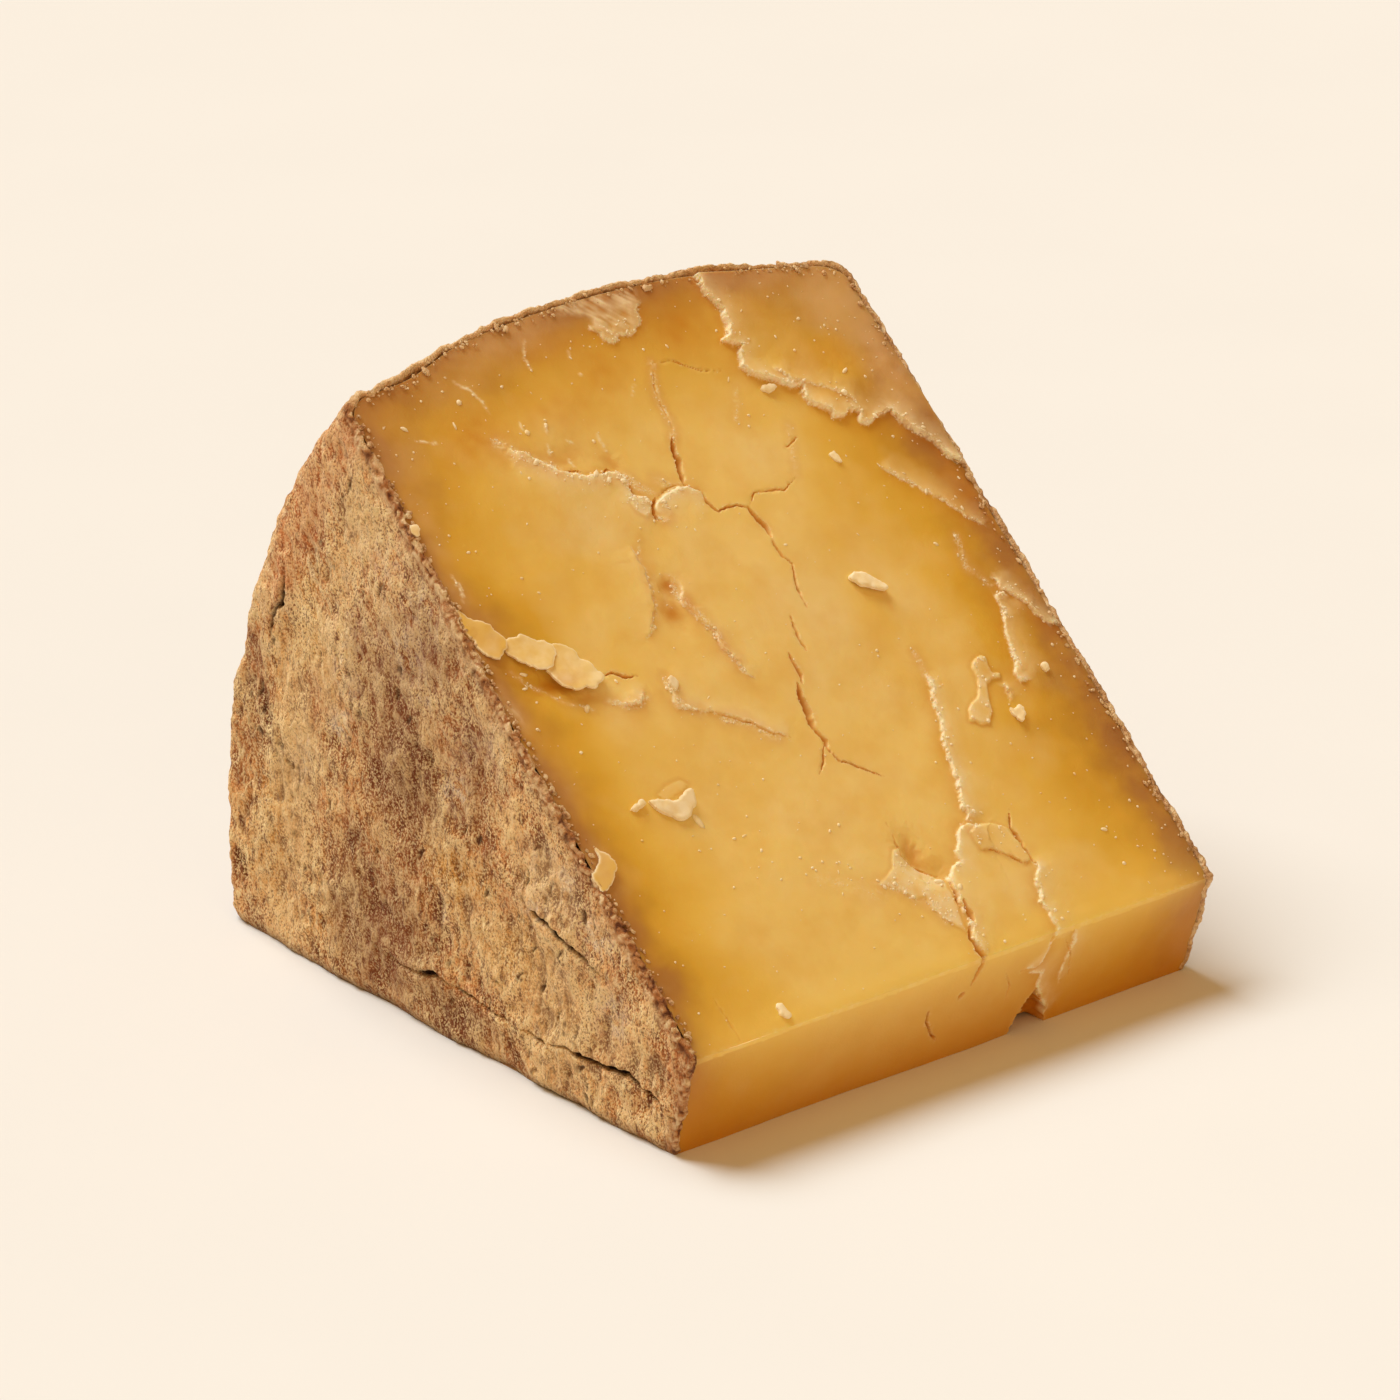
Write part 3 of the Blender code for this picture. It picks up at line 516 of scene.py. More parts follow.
# Their places: outline on the slope, thickness, height, lift of the free side, the way that this
# side faces, and paleness
CHIPS = {
    "grain": (((71.2, 67.2), (72.6, 67.4), (74, 67), (75.1, 66.1), (76.3, 64.6), (77.1, 63.2), (76.4, 62.8),
        (74.7, 63.5), (72.9, 64.6), (71.4, 66)), 0.75, -0.1, 0.55, (-0.4, -1), 1),
    "bone": (((14.3, 41.8), (15.7, 41.4), (16.8, 41), (18.2, 40.4), (19.6, 40.3), (20.5, 40.8), (21, 41.4),
        (22.1, 41), (22.4, 40.2), (22.2, 39.2), (21.6, 38.4), (20.7, 37.8), (20, 37.2), (18.6, 36.9),
        (17.6, 37.1), (17.1, 37.9), (16.4, 38.6), (15.4, 39.4), (14.6, 40.4)), 0.7, -0.15, 0.85, (0.8, 0.6),
        1),
    "bone_end": (((10.6, 41.3), (10.9, 40.8), (11.8, 40.8), (12.8, 41), (13.6, 41.4), (13.5, 42),
        (12.8, 42.2), (12.3, 41.7), (11.5, 41.6)), 0.6, -0.1, 0.3, (1, 0), 1),
    "flap": (((0.3, 38.3), (0.5, 36.6), (1.6, 35.6), (2, 34.3), (2.1, 33.2), (1.8, 32.4), (0.7, 31.5),
        (0.1, 30.6), (-1.2, 30.1), (-2.1, 29.5), (-2.3, 30.8), (-2.3, 32.4), (-2, 33.4), (-0.7, 34.1),
        (0.2, 35.3), (0.1, 36.7)), 0.35, 0, 0.9, (1, 0.2), 0.1),
    "small_cream": (((-0.2, 96.7), (0.5, 96.4), (1, 96.5), (1.1, 95.5), (0.5, 95.1), (0.6, 94.4),
        (-0.3, 94.6), (-0.5, 95.6)), 0.4, 0, 0.3, (1, -0.4), 0.6),
    "plate_left": (((0.5, 81.7), (1, 80.3), (1.8, 78.9), (3, 78.2), (4.4, 77.3), (4.6, 76.1), (5, 74.9),
        (5.5, 73.9), (4.6, 72.4), (2.9, 71.3), (1.9, 71.1), (1.3, 72.2), (0.3, 73.2), (0.2, 75),
        (-0.3, 76.2), (-0.5, 78.3)), 0.4, -0.3, 0.75, (0.5, -1), 0.1),
    "plate_middle": (((5.6, 74.4), (7.4, 74.1), (9.1, 74.4), (10.2, 73), (12.9, 71.8), (13.3, 70.4),
        (12.2, 68.6), (10.7, 67.1), (8.1, 67.4), (6.7, 68.9), (5.3, 70.4), (4.4, 71.8)), 0.45, -0.3, 1.1,
        (-0.3, -1), 0.38),
    "plate_right": (((12.7, 71.6), (15.3, 70.4), (16.5, 68.8), (16.3, 67.4), (17.6, 66.4), (18, 64.7),
        (18.5, 62.9), (15.4, 61.6), (14.3, 62.5), (12.5, 62.2), (10.8, 63.2), (10.1, 65), (9.3, 67.2),
        (11, 68.4)), 0.5, -0.3, 1.2, (-0.4, -1), 0.34),
    "tee_end": (((86.6, 37.7), (87.6, 37.2), (89.2, 37.8), (89.1, 36), (87.3, 34.2), (86.8, 35.6)), 0.6,
        -0.2, 0.5, (0.4, -1), 0.75),
    "corner_bit": (((75.2, 102.4), (76.6, 102.9), (78.3, 102.3), (78.1, 101.5), (76.2, 101.2)), 0.6, -0.1,
        0.2, (1, 0), 0.95),
    "drop": (((16.6, 4.2), (17.5, 4.2), (17.6, 2.9), (18.3, 1.8), (17.8, 1.1), (16.8, 1.5), (16.2, 2.9)),
        0.6, -0.1, 0.2, (0, -1), 0.85),
    "side_bit": (((96.8, 42.7), (97.7, 43.1), (98.2, 42.3), (97.8, 41.3), (97, 41.4)), 0.7, -0.1, 0.2,
        (1, 0), 0.85),
    "spur_bit": (((29.2, 59.9), (30.2, 60.1), (30.9, 59.3), (30.2, 57.8), (29.4, 57.4), (29, 58.6)), 0.6,
        -0.1, 0.5, (-1, 0.2), 1),
    "high_bit": (((80.6, 88.4), (81.8, 88.6), (82.6, 87), (82.2, 86), (81, 86.6)), 0.5, -0.15, 0.3, (0, -1),
        0.8),
}

# White specks on the slope
SLOPE_SPECKS = (
    (53.5, 104.3), (58.3, 114.6), (60.6, 106.9), (62.8, 114), (70.4, 98.6), (73.2, 97.9), (90.2, 107.9),
    (93.9, 110.1), (89.7, 112.4), (95.6, 108.8), (85.3, 107.1), (90.5, 105.4), (97.1, 102.3), (97.4, 99.9),
    (95.4, 99.2), (92.3, 101.2), (83.3, 110.3), (14.4, 83.1), (15.9, 79.9), (7.9, 83.1), (7.7, 82),
    (96, 8.9), (98.4, 7.2), (102.9, 10.6), (99.2, 16.5), (20.4, 119.1), (18.5, 116.9), (13.9, 116.3),
    (17.2, 110.6), (18.1, 109.5), (29.4, 115), (29.2, 107.4), (27.8, 106.3), (32.9, 106.2), (13.5, 104.5),
    (8.3, 112.5), (6.8, 107.2), (36.8, 119.2), (36.4, 116.4), (18.5, 31.5), (20.7, 31.2), (25.6, 31.6),
    (27.6, 31.5), (29, 28.3), (29.6, 25.9), (34.8, 25.1), (35.9, 22.9), (38.2, 23.3), (40, 20.9),
    (42.4, 20.9), (43.5, 18.7), (99.8, 9.9), (91.7, 7), (93, 11.5), (91.7, 13.4), (100, 15.1), (34.2, 22.2),
    (44.8, 28.2), (42.6, 27.7)
)

# Lattice of the noise: shuffled numbers, a direction and a place for each, and the shift between layers
DRAW = np.random.default_rng(SEED)
SHUFFLED = np.tile(DRAW.permutation(256), 2)
DIRECTIONS = DRAW.normal(size=(256, 3))
DIRECTIONS /= np.linalg.norm(DIRECTIONS, axis=1, keepdims=True)
PLACES = DRAW.random((256, 3))
LAYER_STEP = 17.31


def lattice_pick(cell):
    at = cell & 255
    return SHUFFLED[SHUFFLED[SHUFFLED[at[:, 0]] + at[:, 1]] + at[:, 2]]


def ripple(points, layer=0):
    """Smooth noise, about -1 to 1, in cells of size one."""
    points = points + layer * LAYER_STEP
    cell = np.floor(points).astype(np.int64)
    local = points - cell
    fade = local**3 * (local * (local * 6 - 15) + 10)
    total = np.zeros(len(points))
    for corner in itertools.product((0, 1), repeat=3):
        pull = ((local - corner) * DIRECTIONS[lattice_pick(cell + corner)]).sum(axis=1)
        total += pull * np.where(corner, fade, 1 - fade).prod(axis=1)
    return 1.6 * total


def cloud(points, size, octaves=3, layer=0):
    """Noise of a largest size in millimetres, with finer octaves on it."""
    total = np.zeros(len(points))
    for octave in range(octaves):
        total += ripple(points * (2**octave / size), layer + octave) / 2**octave
    return total


def from_dots(points, size, layer):
    """Distance to the nearest of some scattered dots, as a share of their spacing."""
    return nearest_dots(points, size, layer)[0]


def nearest_dots(points, size, layer):
    """The nearest of some scattered dots to each point: how far away it is, and its number."""
    points = points / size + layer * LAYER_STEP
    home = np.floor(points).astype(np.int64)
    nearest = np.full(len(points), 9.0)
    number = np.zeros(len(points), int)
    for step in itertools.product((-1, 0, 1), repeat=3):
        cell = home + step
        pick = lattice_pick(cell)
        gap = ((points - cell - PLACES[pick]) ** 2).sum(axis=1)
        closer = gap < nearest
        nearest[closer] = gap[closer]
        number[closer] = pick[closer]
    return np.sqrt(nearest), number


def swell(points, side):
    """How far the slow unevenness of a side moves points out."""
    wave, amount, layer = SWELLS[side]
    shift = Vector((layer, layer * 0.37, 0.0))
    return amount * np.array([noise.noise(Vector(place) + shift) for place in points / wave])


def eased(low, high, values):
    share = np.clip((values - low) / (high - low), 0, 1)
    return share * share * (3 - 2 * share)


def bell(values, width):
    return np.exp(-((values / width) ** 2))


def near_route(spots, route, margin):
    """The spots near a route, with each one's distance from it and share of the way along it."""
    route = np.asarray(route, float)
    low = route.min(axis=0) - margin
    high = route.max(axis=0) + margin
    near = np.flatnonzero(((spots > low) & (spots < high)).all(axis=1))
    legs = np.diff(route, axis=0)
    lengths = np.hypot(legs[:, 0], legs[:, 1])
    passed = np.concatenate([[0], np.cumsum(lengths)])
    gap = np.full(len(near), np.inf)
    share = np.zeros(len(near))
    for start, leg, length, before in zip(route, legs, lengths, passed):
        offset = spots[near] - start
        way = np.clip(offset @ leg / length**2, 0, 1)
        distance = np.hypot(*(offset - way[:, None] * leg).T)
        closer = distance < gap
        gap[closer] = distance[closer]
        share[closer] = (before + way[closer] * length) / passed[-1]
    return near, gap, share


def inside(spots, outline):
    """Which spots lie within a closed outline."""
    outline = np.asarray(outline, float)
    within = np.zeros(len(spots), bool)
    for (x0, y0), (x1, y1) in zip(outline, np.roll(outline, -1, axis=0)):
        if y0 != y1:
            crossed = (x1 - x0) * (spots[:, 1] - y0) / (y1 - y0) + x0
            within ^= ((y0 > spots[:, 1]) != (y1 > spots[:, 1])) & (spots[:, 0] < crossed)
    return within


def leg_gap(spots, start, end):
    """How far spots lie from a straight leg."""
    leg = end - start
    way = np.clip((spots - start) @ leg / (leg @ leg), 0, 1)
    return np.hypot(*(spots - start - way[:, None] * leg).T)


def in_patch(spots, middle, halves):
    """How deep each spot lies in a soft oval, 1 in its middle."""
    offset = (spots - np.array(middle)) / np.array(halves)
    return np.exp(-((offset**2).sum(axis=1)) * 1.2)


def strongest(spots, patches):
    """The strongest of some soft ovals at each spot."""
    mark = np.zeros(len(spots))
    for middle, halves, strength in patches:
        mark = np.maximum(mark, strength * in_patch(spots, middle, halves))
    return mark


def raise_to(values, near, least):
    """Raises the values at some places to at least others, kept between 0 and 1."""
    values[near] = np.maximum(values[near], np.clip(least, 0, 1))


def rim_radius(across, up):
    from_face = np.minimum(across, 1 - across) * WHEEL_HEIGHT
    rounding = np.clip(1 - from_face / SHOULDER_WIDTH, 0, 1)
    drop = SHOULDER_DROP * (1 - np.sqrt(1 - rounding**2))
    from_dent = (across * WHEEL_HEIGHT - DENT_ACROSS) / DENT_WIDTH
    lean = up**3 * (SLOPE_LEAN + DENT_DEPTH * np.exp(-(from_dent**2)))
    return SHOULDER_RADIUS + BARREL_BULGE * (1 - (2 * across - 1) ** 2) - drop - lean


def section_point(along, up, radius):
    """Where points lie seen from the wheel's flat side, back from the axis and up from the floor."""
    tip = FOOT + (BROW - FOOT) * up[:, None]
    lowest = -np.arcsin(AXIS_HEIGHT / radius)
    angle = lowest + (SLOPE_ANGLE - lowest) * up
    rim = np.column_stack([radius * np.cos(angle), AXIS_HEIGHT + radius * np.sin(angle)])
    return tip + (rim - tip) * along[:, None]


def flat_sides(back, height, radius):
    """The places across the wheel of its two domed flat faces."""
    reach = np.minimum(1, np.hypot(back, height - AXIS_HEIGHT) / radius)
    share = 1 - reach**BULGE_POWER
    return -LEFT_BULGE * share, WHEEL_HEIGHT + RIGHT_BULGE * share


def wheel_point(across, along, up, inset):
    """Points at shares across the wedge, from tip to rim and up to the slope, some way under its skin."""
    radius = rim_radius(across, up)
    section = section_point(along, up, radius - inset)
    left, right = flat_sides(section[:, 0], section[:, 1], radius)
    return np.column_stack([left + inset + (right - left - 2 * inset) * across, section])


def slope_spots(points):
    """Points as places across and up the slope, and their height over it."""
    reach = (points[:, 1:] - BROW) @ SLOPE_WAY
    height = (points[:, 1:] - BROW) @ SLOPE_OUT[1:]
    return np.column_stack([points[:, 0], reach]), height


def slope_place(spots, height):
    """The other way about: points over places across and up the slope."""
    section = BROW + spots[:, 1:] * SLOPE_WAY + np.reshape(height, (-1, 1)) * SLOPE_OUT[1:]
    return np.column_stack([spots[:, 0], section])


def on_swell(points, lift=0.0):
    """Points over the slope moved out with its slow unevenness, and lifted."""
    return points + (swell(points, "slope") + lift)[:, None] * SLOPE_OUT


def face_spots(points):
    """Points as places on a flat rind, back from the tip's foot and up from the floor."""
    return np.column_stack([points[:, 1] - TIP_FOOT, points[:, 2]])


def tip_spots(points):
    """Points as places across and up the tip, and their height over it."""
    rise = (points[:, 1:] - FOOT) @ TIP_WAY
    height = (points[:, 1:] - FOOT) @ TIP_OUT[1:]
    return np.column_stack([points[:, 0], rise]), height


class Surface:
    """A torn face being worked out: its spots, with the height and the marks of each."""

    def __init__(self, spots, layer):
        self.flat = np.column_stack([spots, np.full(len(spots), 0.5 + layer)])
        self.bent = spots.astype(float)
        for size, shift, start in WOBBLES:
            ripples = [ripple(self.flat / size, layer + start + way) for way in (0, 1)]
            self.bent += shift * np.column_stack(ripples)
        self.smooth = self.bent.copy()
        bits = nearest_dots(self.flat, BIT_SIZE, layer + 9)[1]
        self.bent += 0.4 * (PLACES[bits, :2] - 0.5)
        self.bit = PLACES[bits, 2]
        self.grit = ripple(self.flat / 0.6, layer + 5)
        self.uneven = ripple(self.flat / 2.3, layer + 6)
        self.height, self.carved, self.cream, self.amber, self.grains, self.thin = np.zeros((6, len(spots)))

    def plate(self, route, way_back, rise, lip):
        """A torn plate: a sharp jagged step that sinks slowly into the face behind it."""
        route = np.asarray(route, float)
        way_back = np.asarray(way_back, float)
        reach = np.hypot(*way_back)
        near, gap, _ = near_route(self.bent, route, reach + 1)
        spots = self.bent[near]
        within = inside(spots, np.concatenate([route, route[::-1] + way_back]))
        ends = np.minimum(*(leg_gap(spots, end, end + way_back) for end in (route[0], route[-1])))
        soft = eased(0, 2.2 + 0.35 * gap, ends)
        wall = eased(-0.12, 0.22, np.where(within, gap, -gap))
        wide = np.clip(0.8 + 0.9 * ripple(self.flat[near] / 1.7, 13), 0.15, 1.7)
        step = rise * soft * np.clip(0.85 + 0.4 * ripple(self.flat[near] / 7, 14), 0.5, 1.2)
        back = np.clip(1 - gap / reach, 0, 1)
        self.height[near] += step * wall * (0.35 * back**1.3 + 0.65 * back**4)
        ending = np.clip(1.5 * soft, 0, 1)
        edge = 0.55 * bell(gap, 0.3 * lip * (0.4 + wide)) + 0.42 * lip * np.exp(-gap / 1.1) * wide
        edge += 0.24 * lip * np.exp(-gap / 3) * back
        raise_to(self.cream, near, ending * np.where(within, edge, 0.5 * bell(gap, 0.16)))
        crumbled = np.where(within, bell(gap, 0.9 * lip), bell(gap, 0.25))
        raise_to(self.grains, near, 0.6 * ending * wide * crumbled)
        layer = ending * np.exp(-gap / 3.4) * np.sqrt(back) * min(1.0, 0.3 + lip)
        raise_to(self.thin, near, np.where(within, layer, 0))
        # Painted shade: deeper colour on the paste just below the torn edge, fading away from it
        shade = 0.5 * np.exp(-gap / 1.8) * np.clip(gap / 0.3, 0, 1)
        raise_to(self.amber, near, np.where(within, 0, shade * soft))

    def flake(self, outline, rise, pale, pale_edge):
        """A flat flake that lies in the face, with a sharp edge all round."""
        closed = np.concatenate([outline, outline[:1]])
        near, gap, _ = near_route(self.smooth, closed, 2)
        within = inside(self.smooth[near], outline)
        signed = np.where(within, gap, -gap)
        self.height[near] += rise * eased(-0.12, 0.22, signed)
        edge = pale_edge * bell(gap, 0.45) * (0.7 + 0.5 * self.grit[near])
        mottled = pale * np.clip(0.75 + 0.6 * self.uneven[near], 0.2, 1.3) + edge
        raise_to(self.cream, near, mottled * eased(-0.1, 0.5, signed))
        # Painted shade: a deeper ring round the flake, just outside its edge
        raise_to(self.amber, near, np.where(within, 0, 0.3 * bell(gap - 0.2, 0.5)))

    def fan(self, outline, way):
        """A patch of torn fibres, all lying one way."""
        near, gap, _ = near_route(self.bent, np.concatenate([outline, outline[:1]]), 2)
        within = inside(self.bent[near], outline)
        along = self.flat[near] @ np.array([math.cos(way), math.sin(way), 0.0])
        across = self.flat[near] @ np.array([-math.sin(way), math.cos(way), 0.0])
        fibres = ripple(np.column_stack([along / 3.2, across / 0.55, 0 * along]), 9)
        clumps = ripple(np.column_stack([along / 2.0, across / 1.6, 0 * along]), 11)
        depth = np.where(within, eased(0, 1.6, gap), 0)
        self.height[near] += depth * (0.1 + 0.09 * fibres + 0.09 * clumps)
        raise_to(self.cream, near, depth * (0.36 + 0.36 * fibres + 0.3 * clumps))
        raise_to(self.amber, near, depth * 0.4 * np.clip(-0.2 - clumps - fibres, 0, 1))

    def crack(self, route, width, depth):
        """A groove along a jagged route, closing to nothing at both ends, with crumbled lips."""
        near, gap, share = near_route(self.smooth, route, width + 2)
        opening = np.clip(np.sin(np.pi * share), 0.1, 1) ** 0.5
        opening *= np.clip(0.9 + 0.5 * self.uneven[near], 0.4, 1.3)
        half = width / 2 * opening
        sunk = np.clip(1 - gap / half, 0, 1)
        self.carved[near] = np.maximum(self.carved[near], 0.8 * depth * opening * sunk**0.6)
        lips = opening * bell(gap - half - 0.06, 0.22) * min(1.0, depth / 1.8)
        raise_to(self.cream, near, lips * (0.35 + 0.5 * self.grit[near]))
        # Painted shade: the groove's colour deepens with its depth, and a painted glow of the same colour
        # spreads round it
        glow = 0.4 * opening * bell(gap, half + 0.5) * min(1.0, depth / 1.6)
        raise_to(self.amber, near, np.maximum(0.85 * np.sqrt(sunk) * min(1.0, depth / 1.1), glow))

    def dip(self, middle, halves, depth):
        self.height -= depth * in_patch(self.bent, middle, halves)

    def trail(self, route, half, strength):
        """Crumbled paste and crystals along a route."""
        near, gap, _ = near_route(self.bent, route, 3 * half + 1)
        grains = ripple(self.flat[near] / 0.5, 12) + 0.7 * (self.bit[near] - 0.5)
        broken = np.clip(grains * 1.9 + 0.05, 0, 1) * bell(gap, half) * strength
        self.height[near] += 0.1 * broken
        patchy = np.clip(0.55 + 0.9 * self.uneven[near], 0.05, 1)
        raise_to(self.grains, near, 0.85 * strength * bell(gap, half) * patchy)
        raise_to(self.cream, near, 0.3 * broken + 0.14 * strength * bell(gap, 1.6 * half))
        raise_to(self.amber, near, 0.35 * strength * bell(gap - half, half + 0.6))

    def streak(self, route):
        """A thin pale scratch."""
        near, gap, share = near_route(self.bent, route, 1)
        mark = bell(gap, 0.24) * np.clip(np.sin(np.pi * share), 0, 1) ** 0.4
        mark *= np.clip(0.7 + self.grit[near], 0, 1)
        self.height[near] += 0.08 * mark
        raise_to(self.cream, near, mark)

    def finished(self):
        marks = np.clip([self.cream, self.amber, self.grains, self.thin], 0, 1)
        marks[[0, 2]] *= self.carved <= 0.06
        return self.height - self.carved, marks


def slope_relief(spots):
    """The torn slope: height and marks at places across and up it."""
    face = Surface(spots, 20)
    face.height += 0.24 * cloud(face.flat, 17, 2, 30) + 0.03 * cloud(face.flat, 3.6, 3, 34)
    for plate in SLOPE_PLATES.values():
        face.plate(*plate)
    for flake in SLOPE_FLAKES.values():
        face.flake(*flake)
    face.fan(FAN_OUTLINE, FAN_WAY)
    face.fan(FRAY_OUTLINE, FRAY_WAY)
    for dip in SLOPE_DIPS.values():
        face.dip(*dip)
    for trail in SLOPE_TRAILS.values():
        face.trail(*trail)
    for route in SLOPE_STREAKS:
        face.streak(route)
    for crack in SLOPE_CRACKS.values():
        face.crack(*crack)
    raise_to(face.amber, slice(None), strongest(face.bent, AMBER_PLACES) * (0.85 + 0.4 * face.uneven))
    worn_brow_with_highlight(face, spots[:, 1])
    return face.finished()


def tip_relief(spots):
    """The small cut at the tip: height and marks at places across and up it."""
    face = Surface(spots, 40)
    face.height += 0.12 * cloud(face.flat, 9, 3, 50)
    for plate in TIP_PLATES.values():
        face.plate(*plate)
    for crack in TIP_CRACKS.values():
        face.crack(*crack)
    worn_brow_with_highlight(face, TIP_HEIGHT - spots[:, 1])
    near, gap, _ = near_route(face.bent, CHIP_OUTLINE, 3)
    within = inside(face.bent, CHIP_OUTLINE)
    from_edge = np.full(len(spots), 9.0)
    from_edge[near] = gap
    depth = CHIP_DEPTH * np.clip(0.5 + from_edge[within] / CHIP_SLOPE, 0, 1)
    face.carved[within] = np.maximum(face.carved[within], depth)
    raise_to(face.cream, near, 0.35 * bell(gap, 0.3) * (0.7 + 0.6 * face.grit[near]))
    raise_to(face.amber, within, 0.8)
    return face.finished()


def worn_brow_with_highlight(face, gap):
    """Rounds the edge between slope and tip, and paints a pale highlight along it."""
    gap = np.abs(gap)
    face.height -= BROW_WEAR * np.clip(1 - gap / 2.0, 0, 1) ** 2
    # Painted highlight: a pale line along the edge
    raise_to(face.cream, slice(None), bell(gap, 0.5) * (0.05 + 0.3 * face.grit))


def thinned(made):
    """Takes faces out where the mesh is nearly flat, and keeps them where it is torn."""
    count = sum(len(face.vertices) - 2 for face in made.data.polygons)
    if count > MOST_FACES:
        modifier = made.modifiers.new("thin", "DECIMATE")
        modifier.ratio = MOST_FACES / count
        modifier.use_collapse_triangulate = True
        bpy.context.view_layer.objects.active = made
        bpy.ops.object.modifier_apply(modifier=modifier.name)


def mesh_object(name, points, faces):
    """An object from points in the wheel's millimetres."""
    places = (points - PART_MIDDLE) * MM
    mesh = bpy.data.meshes.new(name)
    mesh.from_pydata(places.tolist(), [], faces)
    mesh.shade_smooth()
    made = bpy.data.objects.new(name, mesh)
    bpy.context.scene.collection.objects.link(made)
    return made


def wheel_places(made):
    """A mesh's points, back in the wheel's millimetres."""
    flat = np.empty(3 * len(made.data.vertices))
    made.data.vertices.foreach_get("co", flat)
    return flat.reshape(-1, 3) / MM + PART_MIDDLE


def paint(made, **values):
    """Keeps numbers on the mesh's points for the material to use."""
    for name, numbers in values.items():
        attribute = made.data.attributes.new(name, "FLOAT", "POINT")
        attribute.data.foreach_set("value", np.ascontiguousarray(numbers, dtype=np.float32))


def dress(made, material):
    """Gives a piece its material, and puts it in the node's place."""
    made.data.materials.append(material)
    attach(made, BODY)
    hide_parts(NODE)


def ring_faces(rings, size):
    """Faces between rings of points, with the first and last ring closed."""
    first = np.arange(rings - 1)[:, None] * size + np.arange(size)
    beside = np.arange(rings - 1)[:, None] * size + (np.arange(size) + 1) % size
    faces = np.stack([first, beside, beside + size, first + size], axis=-1).reshape(-1, 4).tolist()
    faces.append(list(range(size))[::-1])
    faces.append(list(range((rings - 1) * size, rings * size)))
    return faces


def paste_points():
    """Rings round the paste, from left to right: over the floor, up the tip and the slope, down the rim."""
    coarse = np.linspace(0, 1, FLOOR_COLUMNS)
    up_tip = np.linspace(0, 1, round(TIP_HEIGHT / PASTE_STEP))
    up_slope = np.linspace(0, 1, round(SLOPE_LENGTH / PASTE_STEP))
    along = np.concatenate([1 - coarse, 0 * up_tip[1:], up_slope[1:], np.ones(REAR_COLUMNS)])
    up = np.concatenate([0 * coarse, up_tip[1:], np.ones(len(up_slope) - 1), 1 - coarse[1:-1]])
    stations = np.linspace(0, 1, round(WHEEL_HEIGHT / PASTE_STEP))
    count, size = len(stations), len(along)
    points = wheel_point(np.repeat(stations, size), np.tile(along, count), np.tile(up, count), PASTE_INSET)
    columns = (FLOOR_COLUMNS - 1, len(up_tip) - 1, len(up_slope), REAR_COLUMNS)
    tip, slope, hidden = (np.tile(np.repeat(np.arange(4) == side, columns), count) for side in (1, 2, 3))
    over = swell(points[slope], "slope") + slope_relief(slope_spots(points[slope])[0])[0]
    front = tip_relief(tip_spots(points[tip])[0])[0]
    points[tip, 1] -= swell(points[tip], "tip")
    points[tip] += front[:, None] * TIP_OUT
    points[slope] += over[:, None] * SLOPE_OUT
    points[hidden, 1] -= HIDDEN_INSET - PASTE_INSET
    points[:, 2] = np.maximum(points[:, 2], 0)
    return with_shrunk_ends(points.reshape(count, size, 3))


def with_shrunk_ends(rings):
    """Adds a smaller ring inside each end, so that the hidden ends lie well under the rind."""
    ends = []
    for ring, inwards in ((rings[0], HIDDEN_INSET), (rings[-1], -HIDDEN_INSET)):
        low, high = ring.min(axis=0), ring.max(axis=0)
        middle = low + (high - low) * END_MIDDLE
        smaller = middle + (ring - middle) * END_SIZE
        smaller[:, 0] = ring[:, 0].mean() + inwards
        ends.append(smaller[None])
    return np.concatenate([ends[0], rings, ends[1]])


def skin_depth(points):
    """How deep points lie under the left, right and rim rinds."""
    radius = rim_radius(np.clip(points[:, 0] / WHEEL_HEIGHT, 0, 1), np.ones(len(points)))
    left, right = flat_sides(points[:, 1], points[:, 2], radius)
    from_axis = np.hypot(points[:, 1], points[:, 2] - AXIS_HEIGHT)
    return points[:, 0] - left, right - points[:, 0], radius - from_axis


